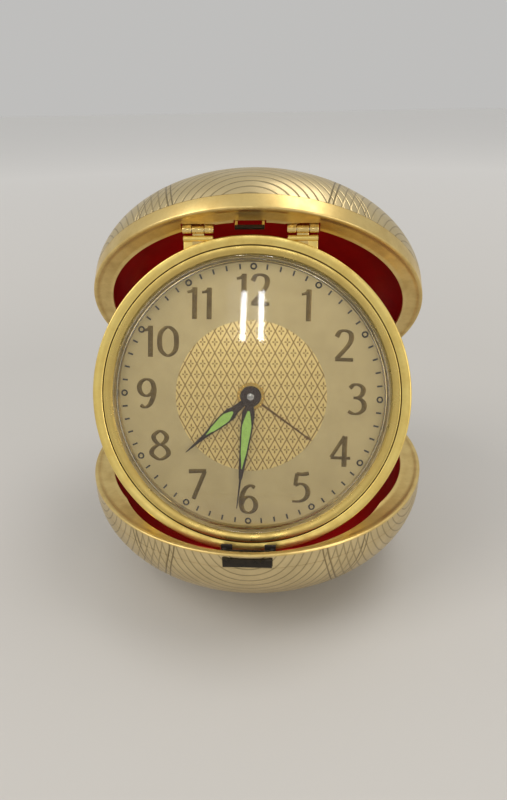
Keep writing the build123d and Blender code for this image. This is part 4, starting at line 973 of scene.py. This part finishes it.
def ending(tree, geometry, given, result):
    """Close a geometry tree with real geometry and its material."""
    real = new_node(tree, "GeometryNodeRealizeInstances", geometry).outputs[0]
    paint = new_node(tree, "GeometryNodeSetMaterial", Geometry=real, Material=given.outputs["Material"])
    tree.links.new(paint.outputs[0], result.inputs[0])


def minute_track():
    """Sixty marks round a circle: a ring at each fifth and a tick at each other one."""
    lengths = ("Radius", "Tick Length", "Tick Width", "Ring Radius", "Ring Line", "Wall")
    tree, given, result = geometry_tree(
        "minute_track",
        [*((label, "NodeSocketFloat", 0.0) for label in lengths), ("Material", "NodeSocketMaterial", None)],
    )
    ask = given.outputs
    circle = new_node(tree, "GeometryNodeMeshCircle", Vertices=60, Radius=ask["Radius"]).outputs["Mesh"]
    index = tree.nodes.new("GeometryNodeInputIndex").outputs[0]
    is_hour = maths(tree, "LESS_THAN", maths(tree, "MODULO", index, 5), 0.5)
    is_tick = maths(tree, "SUBTRACT", 1, is_hour)
    size = new_node(tree, "ShaderNodeCombineXYZ", ask["Tick Length"], ask["Tick Width"], ask["Wall"])
    tick = new_node(tree, "GeometryNodeMeshCube", Size=size.outputs[0]).outputs["Mesh"]
    ticks = new_node(tree, "GeometryNodeInstanceOnPoints", Points=circle, Instance=tick,
                     Rotation=facing_out(tree), Selection=is_tick)
    loop = new_node(tree, "GeometryNodeCurvePrimitiveCircle", Resolution=20, Radius=ask["Ring Radius"])
    line = new_node(tree, "GeometryNodeCurvePrimitiveCircle", Resolution=4, Radius=ask["Ring Line"])
    ring = new_node(tree, "GeometryNodeCurveToMesh", Curve=loop.outputs["Curve"],
                    Profile_Curve=line.outputs["Curve"])
    rings = new_node(tree, "GeometryNodeInstanceOnPoints", Points=circle, Instance=ring.outputs["Mesh"],
                     Selection=is_hour)
    both = new_node(tree, "GeometryNodeJoinGeometry", ticks.outputs[0])
    tree.links.new(rings.outputs[0], both.inputs[0])
    ending(tree, both.outputs[0], given, result)
    return tree


track_mesh = grown(
    minute_track(),
    PRINT_INK,
    HEAD @ PRINT_TURN @ Matrix.Translation((0, 0, DIAL_LEVEL + PRINT_WALL)),
    Radius=TRACK_RADIUS,
    Tick_Length=TICK_LENGTH,
    Tick_Width=TICK_WIDTH,
    Ring_Radius=RING_RADIUS,
    Ring_Line=RING_LINE,
    Wall=2 * PRINT_WALL,
)
piece("minute_track", track_mesh, HEAD, PRINT_INK, "head", "dial")

# Numerals: plain figures 1 to 12 in dark gilt, thick in their uprights and thin across, slightly raised.
NUMERAL_RADIUS = 0.0210
NUMERAL_HEIGHT = 0.0063
NUMERAL_WALL = 0.00012
THICK_SHARE = 0.162
THIN_SHARE = 0.075
THIN_POWER = 1.4
DIGIT_GAP_SHARE = 0.12
STROKE_STEPS = 7
NUMERAL_GILT = (0.19, 0.125, 0.030, 1.0)
NUMERAL_DARK = (0.12, 0.075, 0.016, 1.0)
# Each figure is a width and some strokes, as shares of its height. A stroke is its points and a weight.
FIGURE_SHARES = {
    "0": (0.68, [
        ([(0.34, 0.95), (0.12, 0.79), (0.07, 0.5), (0.12, 0.21), (0.34, 0.05), (0.56, 0.21), (0.61, 0.5),
          (0.56, 0.79), (0.34, 0.95)], 1.0),
    ]),
    "1": (0.34, [
        ([(0.24, 0.0), (0.24, 0.5), (0.24, 0.98)], 1.0),
        ([(0.24, 0.93), (0.14, 0.86), (0.01, 0.83)], 1.0),
    ]),
    "2": (0.6, [
        ([(0.05, 0.76), (0.14, 0.92), (0.3, 0.96), (0.47, 0.88), (0.5, 0.69), (0.4, 0.48), (0.2, 0.24),
          (0.05, 0.07)], 1.0),
        ([(0.02, 0.06), (0.3, 0.06), (0.58, 0.06)], 1.5),
    ]),
    "3": (0.58, [
        ([(0.06, 0.84), (0.18, 0.95), (0.34, 0.95), (0.47, 0.84), (0.45, 0.66), (0.33, 0.56),
          (0.18, 0.54)], 1.0),
        ([(0.18, 0.54), (0.38, 0.51), (0.51, 0.38), (0.51, 0.19), (0.37, 0.06), (0.19, 0.04),
          (0.03, 0.11)], 1.0),
    ]),
    "4": (0.66, [
        ([(0.44, 0.98), (0.24, 0.64), (0.03, 0.29)], 0.8),
        ([(0.02, 0.28), (0.33, 0.28), (0.64, 0.28)], 1.3),
        ([(0.45, 0.0), (0.45, 0.5), (0.45, 0.98)], 1.0),
    ]),
    "5": (0.58, [
        ([(0.14, 0.94), (0.33, 0.93), (0.53, 0.97)], 1.5),
        ([(0.16, 0.95), (0.13, 0.76), (0.11, 0.56)], 0.8),
        ([(0.11, 0.56), (0.27, 0.62), (0.44, 0.55), (0.52, 0.37), (0.46, 0.17), (0.28, 0.05),
          (0.02, 0.04)], 1.0),
    ]),
    "6": (0.62, [
        ([(0.5, 0.88), (0.37, 0.95), (0.21, 0.86), (0.1, 0.62), (0.07, 0.36), (0.14, 0.13), (0.31, 0.05),
          (0.48, 0.13), (0.55, 0.31), (0.48, 0.5), (0.32, 0.58), (0.16, 0.5), (0.09, 0.36)], 1.0),
    ]),
    "7": (0.6, [
        ([(0.02, 0.9), (0.3, 0.92), (0.58, 0.93)], 1.8),
        ([(0.54, 0.92), (0.36, 0.46), (0.18, 0.0)], 0.9),
    ]),
    "8": (0.64, [
        ([(0.32, 0.53), (0.15, 0.65), (0.12, 0.82), (0.32, 0.96), (0.52, 0.82), (0.49, 0.65),
          (0.32, 0.53)], 1.0),
        ([(0.32, 0.53), (0.1, 0.39), (0.06, 0.2), (0.32, 0.04), (0.58, 0.2), (0.54, 0.39), (0.32, 0.53)],
          1.0),
    ]),
}
SIX_WIDTH, SIX_STROKES = FIGURE_SHARES["6"]
FIGURE_SHARES["9"] = (SIX_WIDTH, [([(SIX_WIDTH - x, 1 - y) for x, y in points], weight)
                                  for points, weight in SIX_STROKES])


def smooth_line(points, steps):
    """Points along a smooth curve through the given ones."""
    line = []
    closed = points[0] == points[-1]
    for index in range(len(points) - 1):
        before = points[index - 1] if index else (points[-2] if closed else points[0])
        after = points[index + 2] if index + 2 < len(points) else (points[1] if closed else points[-1])
        a, b, c, d = (Vector(p) for p in (before, points[index], points[index + 1], after))
        for step in range(steps):
            t = step / steps
            line.append(0.5 * (2 * b + (c - a) * t + (2 * a - 5 * b + 4 * c - d) * t * t
                               + (3 * b - a - 3 * c + d) * t ** 3))
    line.append(Vector(points[-1]))
    return line


def pen_stroke(shape, points, weight, left, height):
    """A raised stroke whose width follows its direction: thick upright, thin across."""
    line = smooth_line(points, STROKE_STEPS)
    rows = []
    for index, at in enumerate(line):
        way = (line[min(index + 1, len(line) - 1)] - line[max(index - 1, 0)]).normalized()
        half = (THIN_SHARE + (THICK_SHARE - THIN_SHARE) * abs(way.y) ** THIN_POWER) * weight / 2
        side = Vector((-way.y, way.x)) * half
        row = []
        roof = ((side * 0.5, NUMERAL_WALL), (-side * 0.5, NUMERAL_WALL))
        for offset, level in ((side, 0), *roof, (-side, 0)):
            spot = (at + offset) * height
            row.append(shape.verts.new((spot.x + left, spot.y - height / 2, level)))
        rows.append(row)
    skinned(shape, rows)


def numeral(shape, text, hour):
    """One numeral, upright and centred at its hour."""
    shares = [FIGURE_SHARES[digit][0] for digit in text]
    width = (sum(shares) + DIGIT_GAP_SHARE * (len(text) - 1)) * NUMERAL_HEIGHT
    angle = math.radians(30 * hour)
    left = NUMERAL_RADIUS * math.sin(angle) - width / 2
    rise = NUMERAL_RADIUS * math.cos(angle)
    first_new = len(shape.verts)
    for digit in text:
        share, strokes = FIGURE_SHARES[digit]
        for points, weight in strokes:
            pen_stroke(shape, points, weight, left, NUMERAL_HEIGHT)
        left += (share + DIGIT_GAP_SHARE) * NUMERAL_HEIGHT
    shape.verts.ensure_lookup_table()
    for vertex in shape.verts[first_new:]:
        vertex.co.y += rise


numeral_shape = bmesh.new()
for hour in range(1, 13):
    numeral(numeral_shape, str(hour), hour)
numeral_place = HEAD @ PRINT_TURN @ Matrix.Translation((0, 0, DIAL_LEVEL))
DARK_GILT = worn("dark_gilt", 0.75, (NUMERAL_GILT, NUMERAL_DARK), (0.30, 0.44), scales=(0.45, 4.0))
piece("numerals", meshed(numeral_shape, "numerals", numeral_place), HEAD, DARK_GILT, "head", "dial")

# Dial ring: a satin metal ring between the dial and the crystal, with a rounded inner edge. Its dull olive
# gold is partly its own tone and partly painted shade under the bezel.
RING_INNER = 0.0265
RING_TOP = -0.0006
RING_SLOPE = 0.0005
RING_ROUND = 0.0003
ring_outline = softened(
    [(RING_INNER, DIAL_LEVEL), (DIAL_RADIUS, DIAL_LEVEL), (DIAL_RADIUS, RING_TOP),
     (RING_INNER + RING_SLOPE, RING_TOP)],
    [0, 0, 0, RING_ROUND],
)
# The dull olive gold is partly the ring's own tone and partly painted shade under the bezel.
RING_SATIN_AND_SHADE = polished_gold("ring_satin", 0.42, 0.55, (0.50, 0.42, 0.24, 1.0), (0.42, 0.35, 0.19, 1.0))
piece("dial_ring_band", turned(HEAD, ring_outline), HEAD, RING_SATIN_AND_SHADE, "head", "dial_ring", "dial_ring")

# Hands: stamped from thin steel and lacquered brown, the hour and minute hands filled with green luminous
# paint. The thin alarm hand lies under them on its own gilt hub.
HAND_WALL = 0.0002
LUME_RISE = 0.00008
LUME_BORDER = 0.00028
LUME_STEPS = 12
LUME_LEAST = 0.00005
LUME_TIP_SHARE = 0.25
HAND_BROWN = (0.040, 0.020, 0.008, 1.0)
LUME = (0.36, 0.60, 0.11, 1.0)
LUME_DULL = (0.30, 0.50, 0.09, 1.0)
ALARM_BROWN = (0.20, 0.105, 0.025, 1.0)
HUB_SIDES = 48
# Radius and half width along each hand.
HOUR_BLADE = [(0.0, 0.0005), (0.0040, 0.0008), (0.0053, 0.00122), (0.0075, 0.00112), (0.0105, 0.00070),
              (0.0125, 0.00042), (0.0173, 0.00008)]
MINUTE_BLADE = [(0.0, 0.0006), (0.0022, 0.00090), (0.0034, 0.00126), (0.0070, 0.00118), (0.0110, 0.00086),
                (0.0147, 0.00056), (0.0165, 0.00036), (0.0171, 0.00020), (0.0228, 0.00009)]
ALARM_BLADE = [(0.0, 0.00026), (0.0134, 0.00015), (0.0139, 0.00030), (0.0150, 0.00004)]


def aimed(turn, level):
    """A frame in the head whose y direction points along a hand, clockwise from twelve."""
    return HEAD @ Matrix.Translation((0, 0, level)) @ Matrix.Rotation(-math.radians(turn), 4, "Z")


def blade(shape, stations, low, high, material_index):
    """A flat blade with a slightly crowned face."""
    rows = []
    for reach, half in stations:
        row = [shape.verts.new((-half, reach, low)), shape.verts.new((half, reach, low))]
        row += [shape.verts.new((half, reach, high * 0.75 + low * 0.25)), shape.verts.new((0, reach, high))]
        row += [shape.verts.new((-half, reach, high * 0.75 + low * 0.25))]
        rows.append(row)
    for face in skinned(shape, rows):
        face.material_index = material_index


def hand_mesh(place, stations, hubs, filling=None, blade_index=0):
    """A hand: its blade, its turned hubs and its luminous filling."""
    shape = bmesh.new()
    blade(shape, stations, 0, HAND_WALL, blade_index)
    if filling:
        start, end = filling
        inner = []
        for step in range(LUME_STEPS + 1):
            reach = start + (end - start) * step / LUME_STEPS
            for (r0, w0), (r1, w1) in zip(stations, stations[1:]):
                if r0 <= reach <= r1:
                    half = w0 + (w1 - w0) * (reach - r0) / (r1 - r0)
            closing = min(1.0, LUME_TIP_SHARE + 3 * min(step, LUME_STEPS - step) / LUME_STEPS)
            inner.append((reach, max(half - LUME_BORDER, LUME_LEAST) * closing))
        blade(shape, inner, HAND_WALL / 2, HAND_WALL + LUME_RISE, 1)
    return joined(meshed(shape, "hand", place), *[turned(place, outline, HUB_SIDES) for outline in hubs])


def hand_lacquer(name, colour):
    """Brown lacquer on steel."""
    dull = tuple(0.7 * c for c in colour)
    return worn(name, 0.1, (colour, dull), (0.40, 0.55), scales=(0.5, 1.6), Specular_IOR_Level=0.3)


def green_lume():
    """Pale green luminous paint, chalky and slightly mottled."""
    material, tree, shader = finish("green_lume", 0.0, 0.7)
    wear = grouped(tree, HANDLING, local_place(tree), Cloud_Scale=1.4)
    tree.links.new(blended(tree, wear.outputs["Shade"], LUME, LUME_DULL), shader.inputs["Base Color"])
    bumped(tree, shader, wear.outputs["Scratches"], 0.00003, 0.4)
    return material


def hub(radius, low, high, edge):
    """The outline of a turned hub with a rounded top edge."""
    return [(0, low), (radius, low), (radius, high - edge), (radius - edge, high), (0, high)]


HAND_LACQUER, GREEN_LUME = hand_lacquer("hand_brown", HAND_BROWN), green_lume()
ALARM_GOLD = polished_gold("alarm_gold", 0.15, 0.28, (0.86, 0.56, 0.13, 1.0), (0.70, 0.43, 0.09, 1.0))
ALARM_LACQUER = hand_lacquer("alarm_brown", ALARM_BROWN)
HAND_EDGE = 0.00006
ALARM_LEVEL, HOUR_LEVEL, MINUTE_LEVEL = -0.00195, -0.00155, -0.00115
BROWN_AND_LUME = (HAND_LACQUER, GREEN_LUME)
# name: turn from twelve, level of its back face, blade, radius and rise of its hub, span of its filling
HANDS = {
    "alarm": (126, ALARM_LEVEL, ALARM_BLADE, 0.00275, 0.0001, None),
    "hour": (229, HOUR_LEVEL, HOUR_BLADE, 0.0021, 0.00005, (0.0047, 0.0118)),
    "minute": (187, MINUTE_LEVEL, MINUTE_BLADE, 0.0019, 0.0001, (0.0029, 0.0146)),
}
# name: finishes, which of them is the blade's, slot
HAND_LOOKS = {
    "alarm": ((ALARM_GOLD, ALARM_LACQUER), 1, "alarm_gold"),
    "hour": (BROWN_AND_LUME, 0, "hand_dark"),
    "minute": (BROWN_AND_LUME, 0, "hand_dark"),
}
for hand, (turn, level, stations, hub_radius, hub_rise, filling) in HANDS.items():
    finishes, blade_index, slot = HAND_LOOKS[hand]
    hubs = [hub(hub_radius, 0, HAND_WALL + hub_rise, HAND_EDGE)]
    blade_mesh = hand_mesh(aimed(turn, level), stations, hubs, filling, blade_index)
    piece(hand + "_hand_blade", blade_mesh, HEAD, finishes, hand, slot, hand + "_hand")

# Centre cap: the polished steel end of the arbor, which shows in the middle of the hands.
CAP_RADIUS = 0.0007
CAP_RISE = 0.00025
CAP_EDGE = 0.0001
CAP_FLAT = CAP_RADIUS * 0.6
cap_low = MINUTE_LEVEL + HAND_WALL / 2
cap_high = MINUTE_LEVEL + HAND_WALL + CAP_RISE
cap_outline = [
    (0, cap_low), (CAP_RADIUS, cap_low), (CAP_RADIUS, cap_high - CAP_EDGE), (CAP_FLAT, cap_high),
    (0, cap_high),
]
CAP_STEEL = polished_gold("cap_steel", 0.10, 0.2, (0.75, 0.72, 0.66, 1.0), (0.6, 0.57, 0.5, 1.0))
piece("centre_cap", turned(HEAD, cap_outline, HUB_SIDES), HEAD, CAP_STEEL, "minute", "steel")

# Crystal: a domed moulding of clear acrylic with a steep side. Its edge seats under the bezel.
CRYSTAL_OUTER = 0.0283
CRYSTAL_SIDE_RADIUS = 0.0273
CRYSTAL_WALL = 0.0007
CRYSTAL_SHOULDER = 0.0266
CRYSTAL_CROWN = 0.0024
CRYSTAL_CORNER = 0.00138
CRYSTAL_LIP = -0.00005
CRYSTAL_FOOT = 0.0003
CRYSTAL_INNER_FOOT = -0.0002
CRYSTAL_STEPS = 24
CRYSTAL_CORNER_STEPS = 10


def crystal_outline():
    """The closed section of the crystal: seat, side, shoulder and low dome, and the same inside."""
    outside = [(CRYSTAL_OUTER, RING_TOP), (CRYSTAL_OUTER, CRYSTAL_LIP), (CRYSTAL_SIDE_RADIUS, CRYSTAL_LIP)]
    inside = [(CRYSTAL_SHOULDER, RING_TOP)]
    inner_shoulder = CRYSTAL_SHOULDER - CRYSTAL_WALL
    inner_corner = CRYSTAL_CORNER - CRYSTAL_WALL
    for step in range(CRYSTAL_CORNER_STEPS):
        angle = math.pi / 2 * step / CRYSTAL_CORNER_STEPS
        spread = (CRYSTAL_SIDE_RADIUS - CRYSTAL_SHOULDER) * math.cos(angle)
        height = CRYSTAL_FOOT + (CRYSTAL_CORNER - CRYSTAL_FOOT) * math.sin(angle)
        outside.append((CRYSTAL_SHOULDER + spread, height))
        height = CRYSTAL_INNER_FOOT + (inner_corner - CRYSTAL_INNER_FOOT) * math.sin(angle)
        inside.append((inner_shoulder + spread, height))
    for step in range(CRYSTAL_STEPS + 1):
        share = 1 - step / CRYSTAL_STEPS
        rise = (CRYSTAL_CROWN - CRYSTAL_CORNER) * (1 - share ** 2)
        outside.append((CRYSTAL_SHOULDER * share, CRYSTAL_CORNER + rise))
        inside.append((inner_shoulder * share, inner_corner + rise))
    return outside + inside[::-1]


def clear_acrylic():
    """Clear acrylic, which lets the lamps' light through to the dial."""
    material, tree, shader = finish("clear_acrylic", 0.0, 0.035, Transmission_Weight=1.0, IOR=1.47)
    light = tree.nodes.new("ShaderNodeLightPath")
    clear = tree.nodes.new("ShaderNodeBsdfTransparent")
    mix = tree.nodes.new("ShaderNodeMixShader")
    output = tree.nodes["Material Output"]
    tree.links.new(light.outputs["Is Shadow Ray"], mix.inputs[0])
    tree.links.new(shader.outputs[0], mix.inputs[1])
    tree.links.new(clear.outputs[0], mix.inputs[2])
    tree.links.new(mix.outputs[0], output.inputs["Surface"])
    return material


piece("crystal_dome", turned(HEAD, crystal_outline()), HEAD, clear_acrylic(), "head", "crystal", "crystal")

# Bezel: a turned brass ring, polished and gilt. A fine groove parts its flat outer band from its inner
# slope. The groove is painted dark brown and the slope a darker gold, both as painted shade.
BEZEL_RADIUS = 0.0312
BEZEL_DEPTH = 0.0026
BEZEL_CREST = 0.0008
BEZEL_ROUND = 0.0003
BEZEL_ROUND_STEPS = 8
BEZEL_GROOVE = 0.02925
BEZEL_INNER = 0.02745
GROOVE_HALF = 0.00013
GROOVE_FLOOR_HALF = GROOVE_HALF * 0.7
SLOPE_MARGIN = 0.0004
# Distances from the groove's middle, outward first, with heights.
GROOVE_STEPS = [
    (0.0003, BEZEL_CREST - 0.0002), (GROOVE_HALF, BEZEL_CREST - 0.0003), (GROOVE_FLOOR_HALF, 0.0002),
    (-GROOVE_FLOOR_HALF, 0.0002), (-GROOVE_HALF, 0.00048), (-0.0003, 0.00052),
]
# Distances from the inner edge, with heights.
SLOPE_STEPS = [(0.0003, 0.00018), (0.0001, 0.0001), (0, 0.00002), (0, 0)]


def bezel_outline():
    """The closed section of the bezel: seat, side, rounded edge, flat band, groove and inner slope."""
    seat = [(CRYSTAL_OUTER, -BEZEL_DEPTH), (BEZEL_RADIUS - BEZEL_ROUND, -BEZEL_DEPTH)]
    edge = [(BEZEL_RADIUS, BEZEL_ROUND - BEZEL_DEPTH)]
    for step in range(BEZEL_ROUND_STEPS + 1):
        angle = math.pi / 2 * step / BEZEL_ROUND_STEPS
        inset = BEZEL_ROUND * (1 - math.cos(angle))
        drop = BEZEL_ROUND * (1 - math.sin(angle))
        edge.append((BEZEL_RADIUS - inset, BEZEL_CREST - drop))
    groove = [(BEZEL_GROOVE + across, height) for across, height in GROOVE_STEPS]
    slope = [(BEZEL_INNER + across, height) for across, height in SLOPE_STEPS]
    return seat + edge + groove + slope + [(CRYSTAL_OUTER, 0)]


BEZEL_GOLD = polished_gold("bezel_gold", 0.28, 0.40, (0.90, 0.69, 0.22, 1.0), (0.74, 0.53, 0.15, 1.0))
# The groove's dark brown is painted shade in the groove.
GROOVE_PAINTED_SHADE = polished_gold("bezel_groove", 0.5, 0.6, (0.16, 0.09, 0.02, 1.0), (0.12, 0.07, 0.02, 1.0))
# The inner slope's darker gold is painted shade on the slope.
SLOPE_GOLD_PAINTED_SHADE = polished_gold("bezel_slope", 0.25, 0.38, (0.70, 0.51, 0.16, 1.0), (0.58, 0.41, 0.12, 1.0))
bezel_mesh = turned(HEAD, bezel_outline())
to_head = HEAD.inverted()
# Faces in the groove take the painted shade, and faces on the inner slope the darker gold of painted shade.
for polygon in bezel_mesh.polygons:
    middle = to_head @ polygon.center
    reach = math.hypot(middle.x, middle.y)
    if abs(reach - BEZEL_GROOVE) < GROOVE_HALF and middle.z > 0:
        polygon.material_index = 1
    elif BEZEL_INNER < reach < BEZEL_GROOVE - SLOPE_MARGIN and middle.z > 0:
        polygon.material_index = 2
piece("bezel_ring", bezel_mesh, HEAD, (BEZEL_GOLD, GROOVE_PAINTED_SHADE, SLOPE_GOLD_PAINTED_SHADE), "head", "gold", "bezel")

# Hinge leaves: a rolled brass leaf as wide as its bracket, soldered to the bezel's edge under each knuckle.
LEAF_HALF = 0.0029
LEAF_LOW = 0.0275
LEAF_HIGH = PIVOT_RADIUS - HEAD_BARREL - NOTCH_CLEAR
LEAF_LEVELS = (-0.0004, 0.0002)
LEAF_ROUND = 0.0002
LEAF_ROLL = 0.00058
LEAF_ROLL_LEVEL = 0.00012
LEAF_EDGE = 0.0001
LEAF_OVERLAP = 0.00005
body_radius = BEZEL_RADIUS - LEAF_OVERLAP
bezel_body = [(0, -BEZEL_DEPTH), (body_radius, -BEZEL_DEPTH), (body_radius, BEZEL_DEPTH), (0, BEZEL_DEPTH)]
roll_outline = [
    (0, -LEAF_HALF), (LEAF_ROLL - LEAF_EDGE, -LEAF_HALF), (LEAF_ROLL, LEAF_EDGE - LEAF_HALF),
    (LEAF_ROLL, LEAF_HALF - LEAF_EDGE), (LEAF_ROLL - LEAF_EDGE, LEAF_HALF), (0, LEAF_HALF),
]
leaves = []
for middle in (-HEAD_HINGE_X, HEAD_HINGE_X):
    leaf = block(HEAD, (middle - LEAF_HALF, middle + LEAF_HALF), (LEAF_LOW, LEAF_HIGH), LEAF_LEVELS)
    leaves.append(cut(bevelled(leaf, LEAF_ROUND, 3), turned(HEAD, bezel_body)))
    roll_place = Matrix.Translation((middle, LEAF_HIGH - LEAF_ROLL, LEAF_ROLL_LEVEL))
    roll_frame = HEAD @ roll_place @ Matrix.Rotation(math.pi / 2, 4, "Y")
    leaves.append(cut(turned(roll_frame, roll_outline, HUB_SIDES), turned(HEAD, bezel_body)))
piece("head_hinge_leaves", joined(*leaves), HEAD, BEZEL_GOLD, "head", "gold")

# Cover screws: three slotted cheese-head screws of plain steel, turned from bar, hold the back cover.
SCREW_HEAD = 0.0013
SCREW_SHANK = 0.0006
SCREW_WALL = 0.0004
SLOT_HALF = 0.00018
SLOT_DEPTH = 0.00024
SMALL_SIDES = 40
# Shares of the head's radius, with heights over its face.
SCREW_CROWN = [(0, -0.0001), (0.6, -0.00008), (0.9, 0), (1, 0.0001)]


def local_box(name, place, depth=1.0):
    """The corners of a node's mesh in a local frame. A depth keeps only its last part towards the back."""
    to_local = place.inverted()
    points = [to_local @ (nodes[name].matrix_world @ vertex.co) for vertex in nodes[name].data.vertices]
    back = min(point.z for point in points)
    near = [point for point in points if point.z < back + depth]
    return Vector(map(min, zip(*near))), Vector(map(max, zip(*near)))


def ring_of_items():
    """Copies of an object round a circle, each facing outward."""
    tree, given, result = geometry_tree(
        "ring_of_items",
        [("Item", "NodeSocketObject", None), ("Count", "NodeSocketInt", 3),
         ("Radius", "NodeSocketFloat", 0.0), ("Material", "NodeSocketMaterial", None)],
    )
    ask = given.outputs
    circle = new_node(tree, "GeometryNodeMeshCircle", Vertices=ask["Count"], Radius=ask["Radius"])
    item = new_node(tree, "GeometryNodeObjectInfo", Object=ask["Item"])
    copies = new_node(tree, "GeometryNodeInstanceOnPoints", Points=circle.outputs["Mesh"],
                      Instance=item.outputs["Geometry"], Rotation=facing_out(tree))
    ending(tree, copies.outputs[0], given, result)
    return tree


RING_OF_ITEMS = ring_of_items()
UPRIGHT = Matrix.Identity(4)


def ringed(mesh, material, place, count, radius):
    """A mesh repeated round a circle of a local frame, starting at its x axis."""
    item = bpy.data.objects.new("item", mesh)
    scene.collection.objects.link(item)
    result = grown(RING_OF_ITEMS, material, place, Item=item, Count=count, Radius=radius)
    bpy.data.objects.remove(item)
    return result


screw_low, screw_high = local_box("cover_screws", HEAD)
screw_face = screw_low.z
screw_outline = [(SCREW_HEAD * share, screw_face + height) for share, height in SCREW_CROWN]
screw_outline += [
    (SCREW_HEAD, screw_face + SCREW_WALL), (SCREW_SHANK, screw_face + SCREW_WALL),
    (SCREW_SHANK, screw_high.z), (0, screw_high.z),
]
screw_slot = block(UPRIGHT, (-2 * SCREW_HEAD, 2 * SCREW_HEAD), (-SLOT_HALF, SLOT_HALF),
                   (screw_face - SCREW_HEAD, screw_face + SLOT_DEPTH))
screw_mesh = cut(turned(UPRIGHT, screw_outline, SMALL_SIDES), screw_slot)
screw_frame = HEAD @ Matrix.Rotation(math.pi / 2, 4, "Z")
screws_mesh = ringed(screw_mesh, STEEL, screw_frame, 3, screw_high.y - SCREW_HEAD)
piece("cover_screws_slotted", screws_mesh, HEAD, STEEL, "head", "steel", "cover_screws")

# Back controls: brass wing keys on the barrel arbors, knurled setting knobs for the time and the alarm, and
# the alarm's stop button.
KEY_HEIGHT = 0.0034
KEY_HALF_WALL = 0.0006
KEY_HUB = 0.0010
KEY_HUB_NOSE = KEY_HUB * 0.8
KEY_HUB_END = KEY_HEIGHT * 0.72
KEY_HUB_SHOULDER = KEY_HEIGHT * 0.66
KEY_HUB_FOOT = 0.0002
KEY_CUT_LEVEL = 0.0001
KEY_ROUND = 0.00022
LOBE_STEPS = 22
LOBE_START = 150
RIB_RADIUS = 0.00017
RIB_SHORT = 0.0003
RIB_SIDES = 8
KNOB_EDGE = 0.0003
KNOB_BEVEL = KNOB_EDGE * 0.8
KNOB_HEIGHT = 0.0026


def middled(low, high, level):
    """The head's frame moved to the middle of a box and to a level."""
    return HEAD @ Matrix.Translation(((low.x + high.x) / 2, (low.y + high.y) / 2, level))


def wing(place, half_span):
    """The blade of a wing key: two round lobes and the bridge between them."""
    radius = KEY_HEIGHT / 2
    reach = half_span - radius
    shape = bmesh.new()
    sides = []
    for y in (-KEY_HALF_WALL, KEY_HALF_WALL):
        ring = []
        for centre, start in ((reach, LOBE_START), (-reach, LOBE_START - 180)):
            for step in range(LOBE_STEPS + 1):
                angle = math.radians(start - 2 * LOBE_START * step / LOBE_STEPS)
                across = centre + radius * math.cos(angle)
                ring.append(shape.verts.new((across, y, radius * math.sin(angle) - radius)))
        sides.append(ring)
    skinned(shape, sides)
    return meshed(shape, "wing", place)


hub_outline = [
    (0, -KEY_HUB_END), (KEY_HUB_NOSE, -KEY_HUB_END), (KEY_HUB, -KEY_HUB_SHOULDER), (KEY_HUB, KEY_HUB_FOOT),
    (0, KEY_HUB_FOOT),
]
for key_name, key_body in (("time_key", "time_winder"), ("alarm_key", "alarm_winder")):
    key_low, key_high = local_box(key_name, HEAD, KEY_HEIGHT / 2)
    key_frame = middled(key_low, key_high, key_low.z + KEY_HEIGHT)
    half_span = (key_high.x - key_low.x) / 2
    depths = (-2 * KEY_HEIGHT, KEY_CUT_LEVEL)
    off = block(key_frame, (-2 * half_span, 2 * half_span), (-half_span, half_span), depths)
    wing_mesh = bevelled(wing(key_frame, half_span), KEY_ROUND)
    hub_mesh = turned(key_frame, hub_outline, SMALL_SIDES)
    key_mesh = joined(cut(cad_copy(key_name), off), wing_mesh, hub_mesh)
    piece(key_name + "_wing", key_mesh, HEAD, BRASS, key_body, "brass", key_name)

# name, body, number of ribs
KNOBS = (("time_set_knob", "minute", 36), ("alarm_set_knob", "alarm_knob", 28))
for knob_name, knob_body, rib_count in KNOBS:
    knob_low, knob_high = local_box(knob_name, HEAD, KNOB_HEIGHT / 2)
    knob_radius = (knob_high.x - knob_low.x) / 2
    rib_low = knob_low.z + KNOB_EDGE + RIB_SHORT
    rib_high = knob_low.z + KNOB_HEIGHT - KNOB_EDGE
    rib_outline = [(0, rib_low - RIB_SHORT), (RIB_RADIUS, rib_low), (RIB_RADIUS, rib_high),
                   (0, rib_high + RIB_SHORT / 2)]
    rib = turned(UPRIGHT, rib_outline, RIB_SIDES)
    ribs = ringed(rib, BRASS, middled(knob_low, knob_high, 0), rib_count, knob_radius)
    knob_mesh = joined(bevelled(cad_copy(knob_name), KNOB_BEVEL), ribs)
    piece(knob_name + "_knurled", knob_mesh, HEAD, BRASS, knob_body, "brass", knob_name)

eased("alarm_stop", HEAD, STEEL, "stop", "steel", KNOB_EDGE)
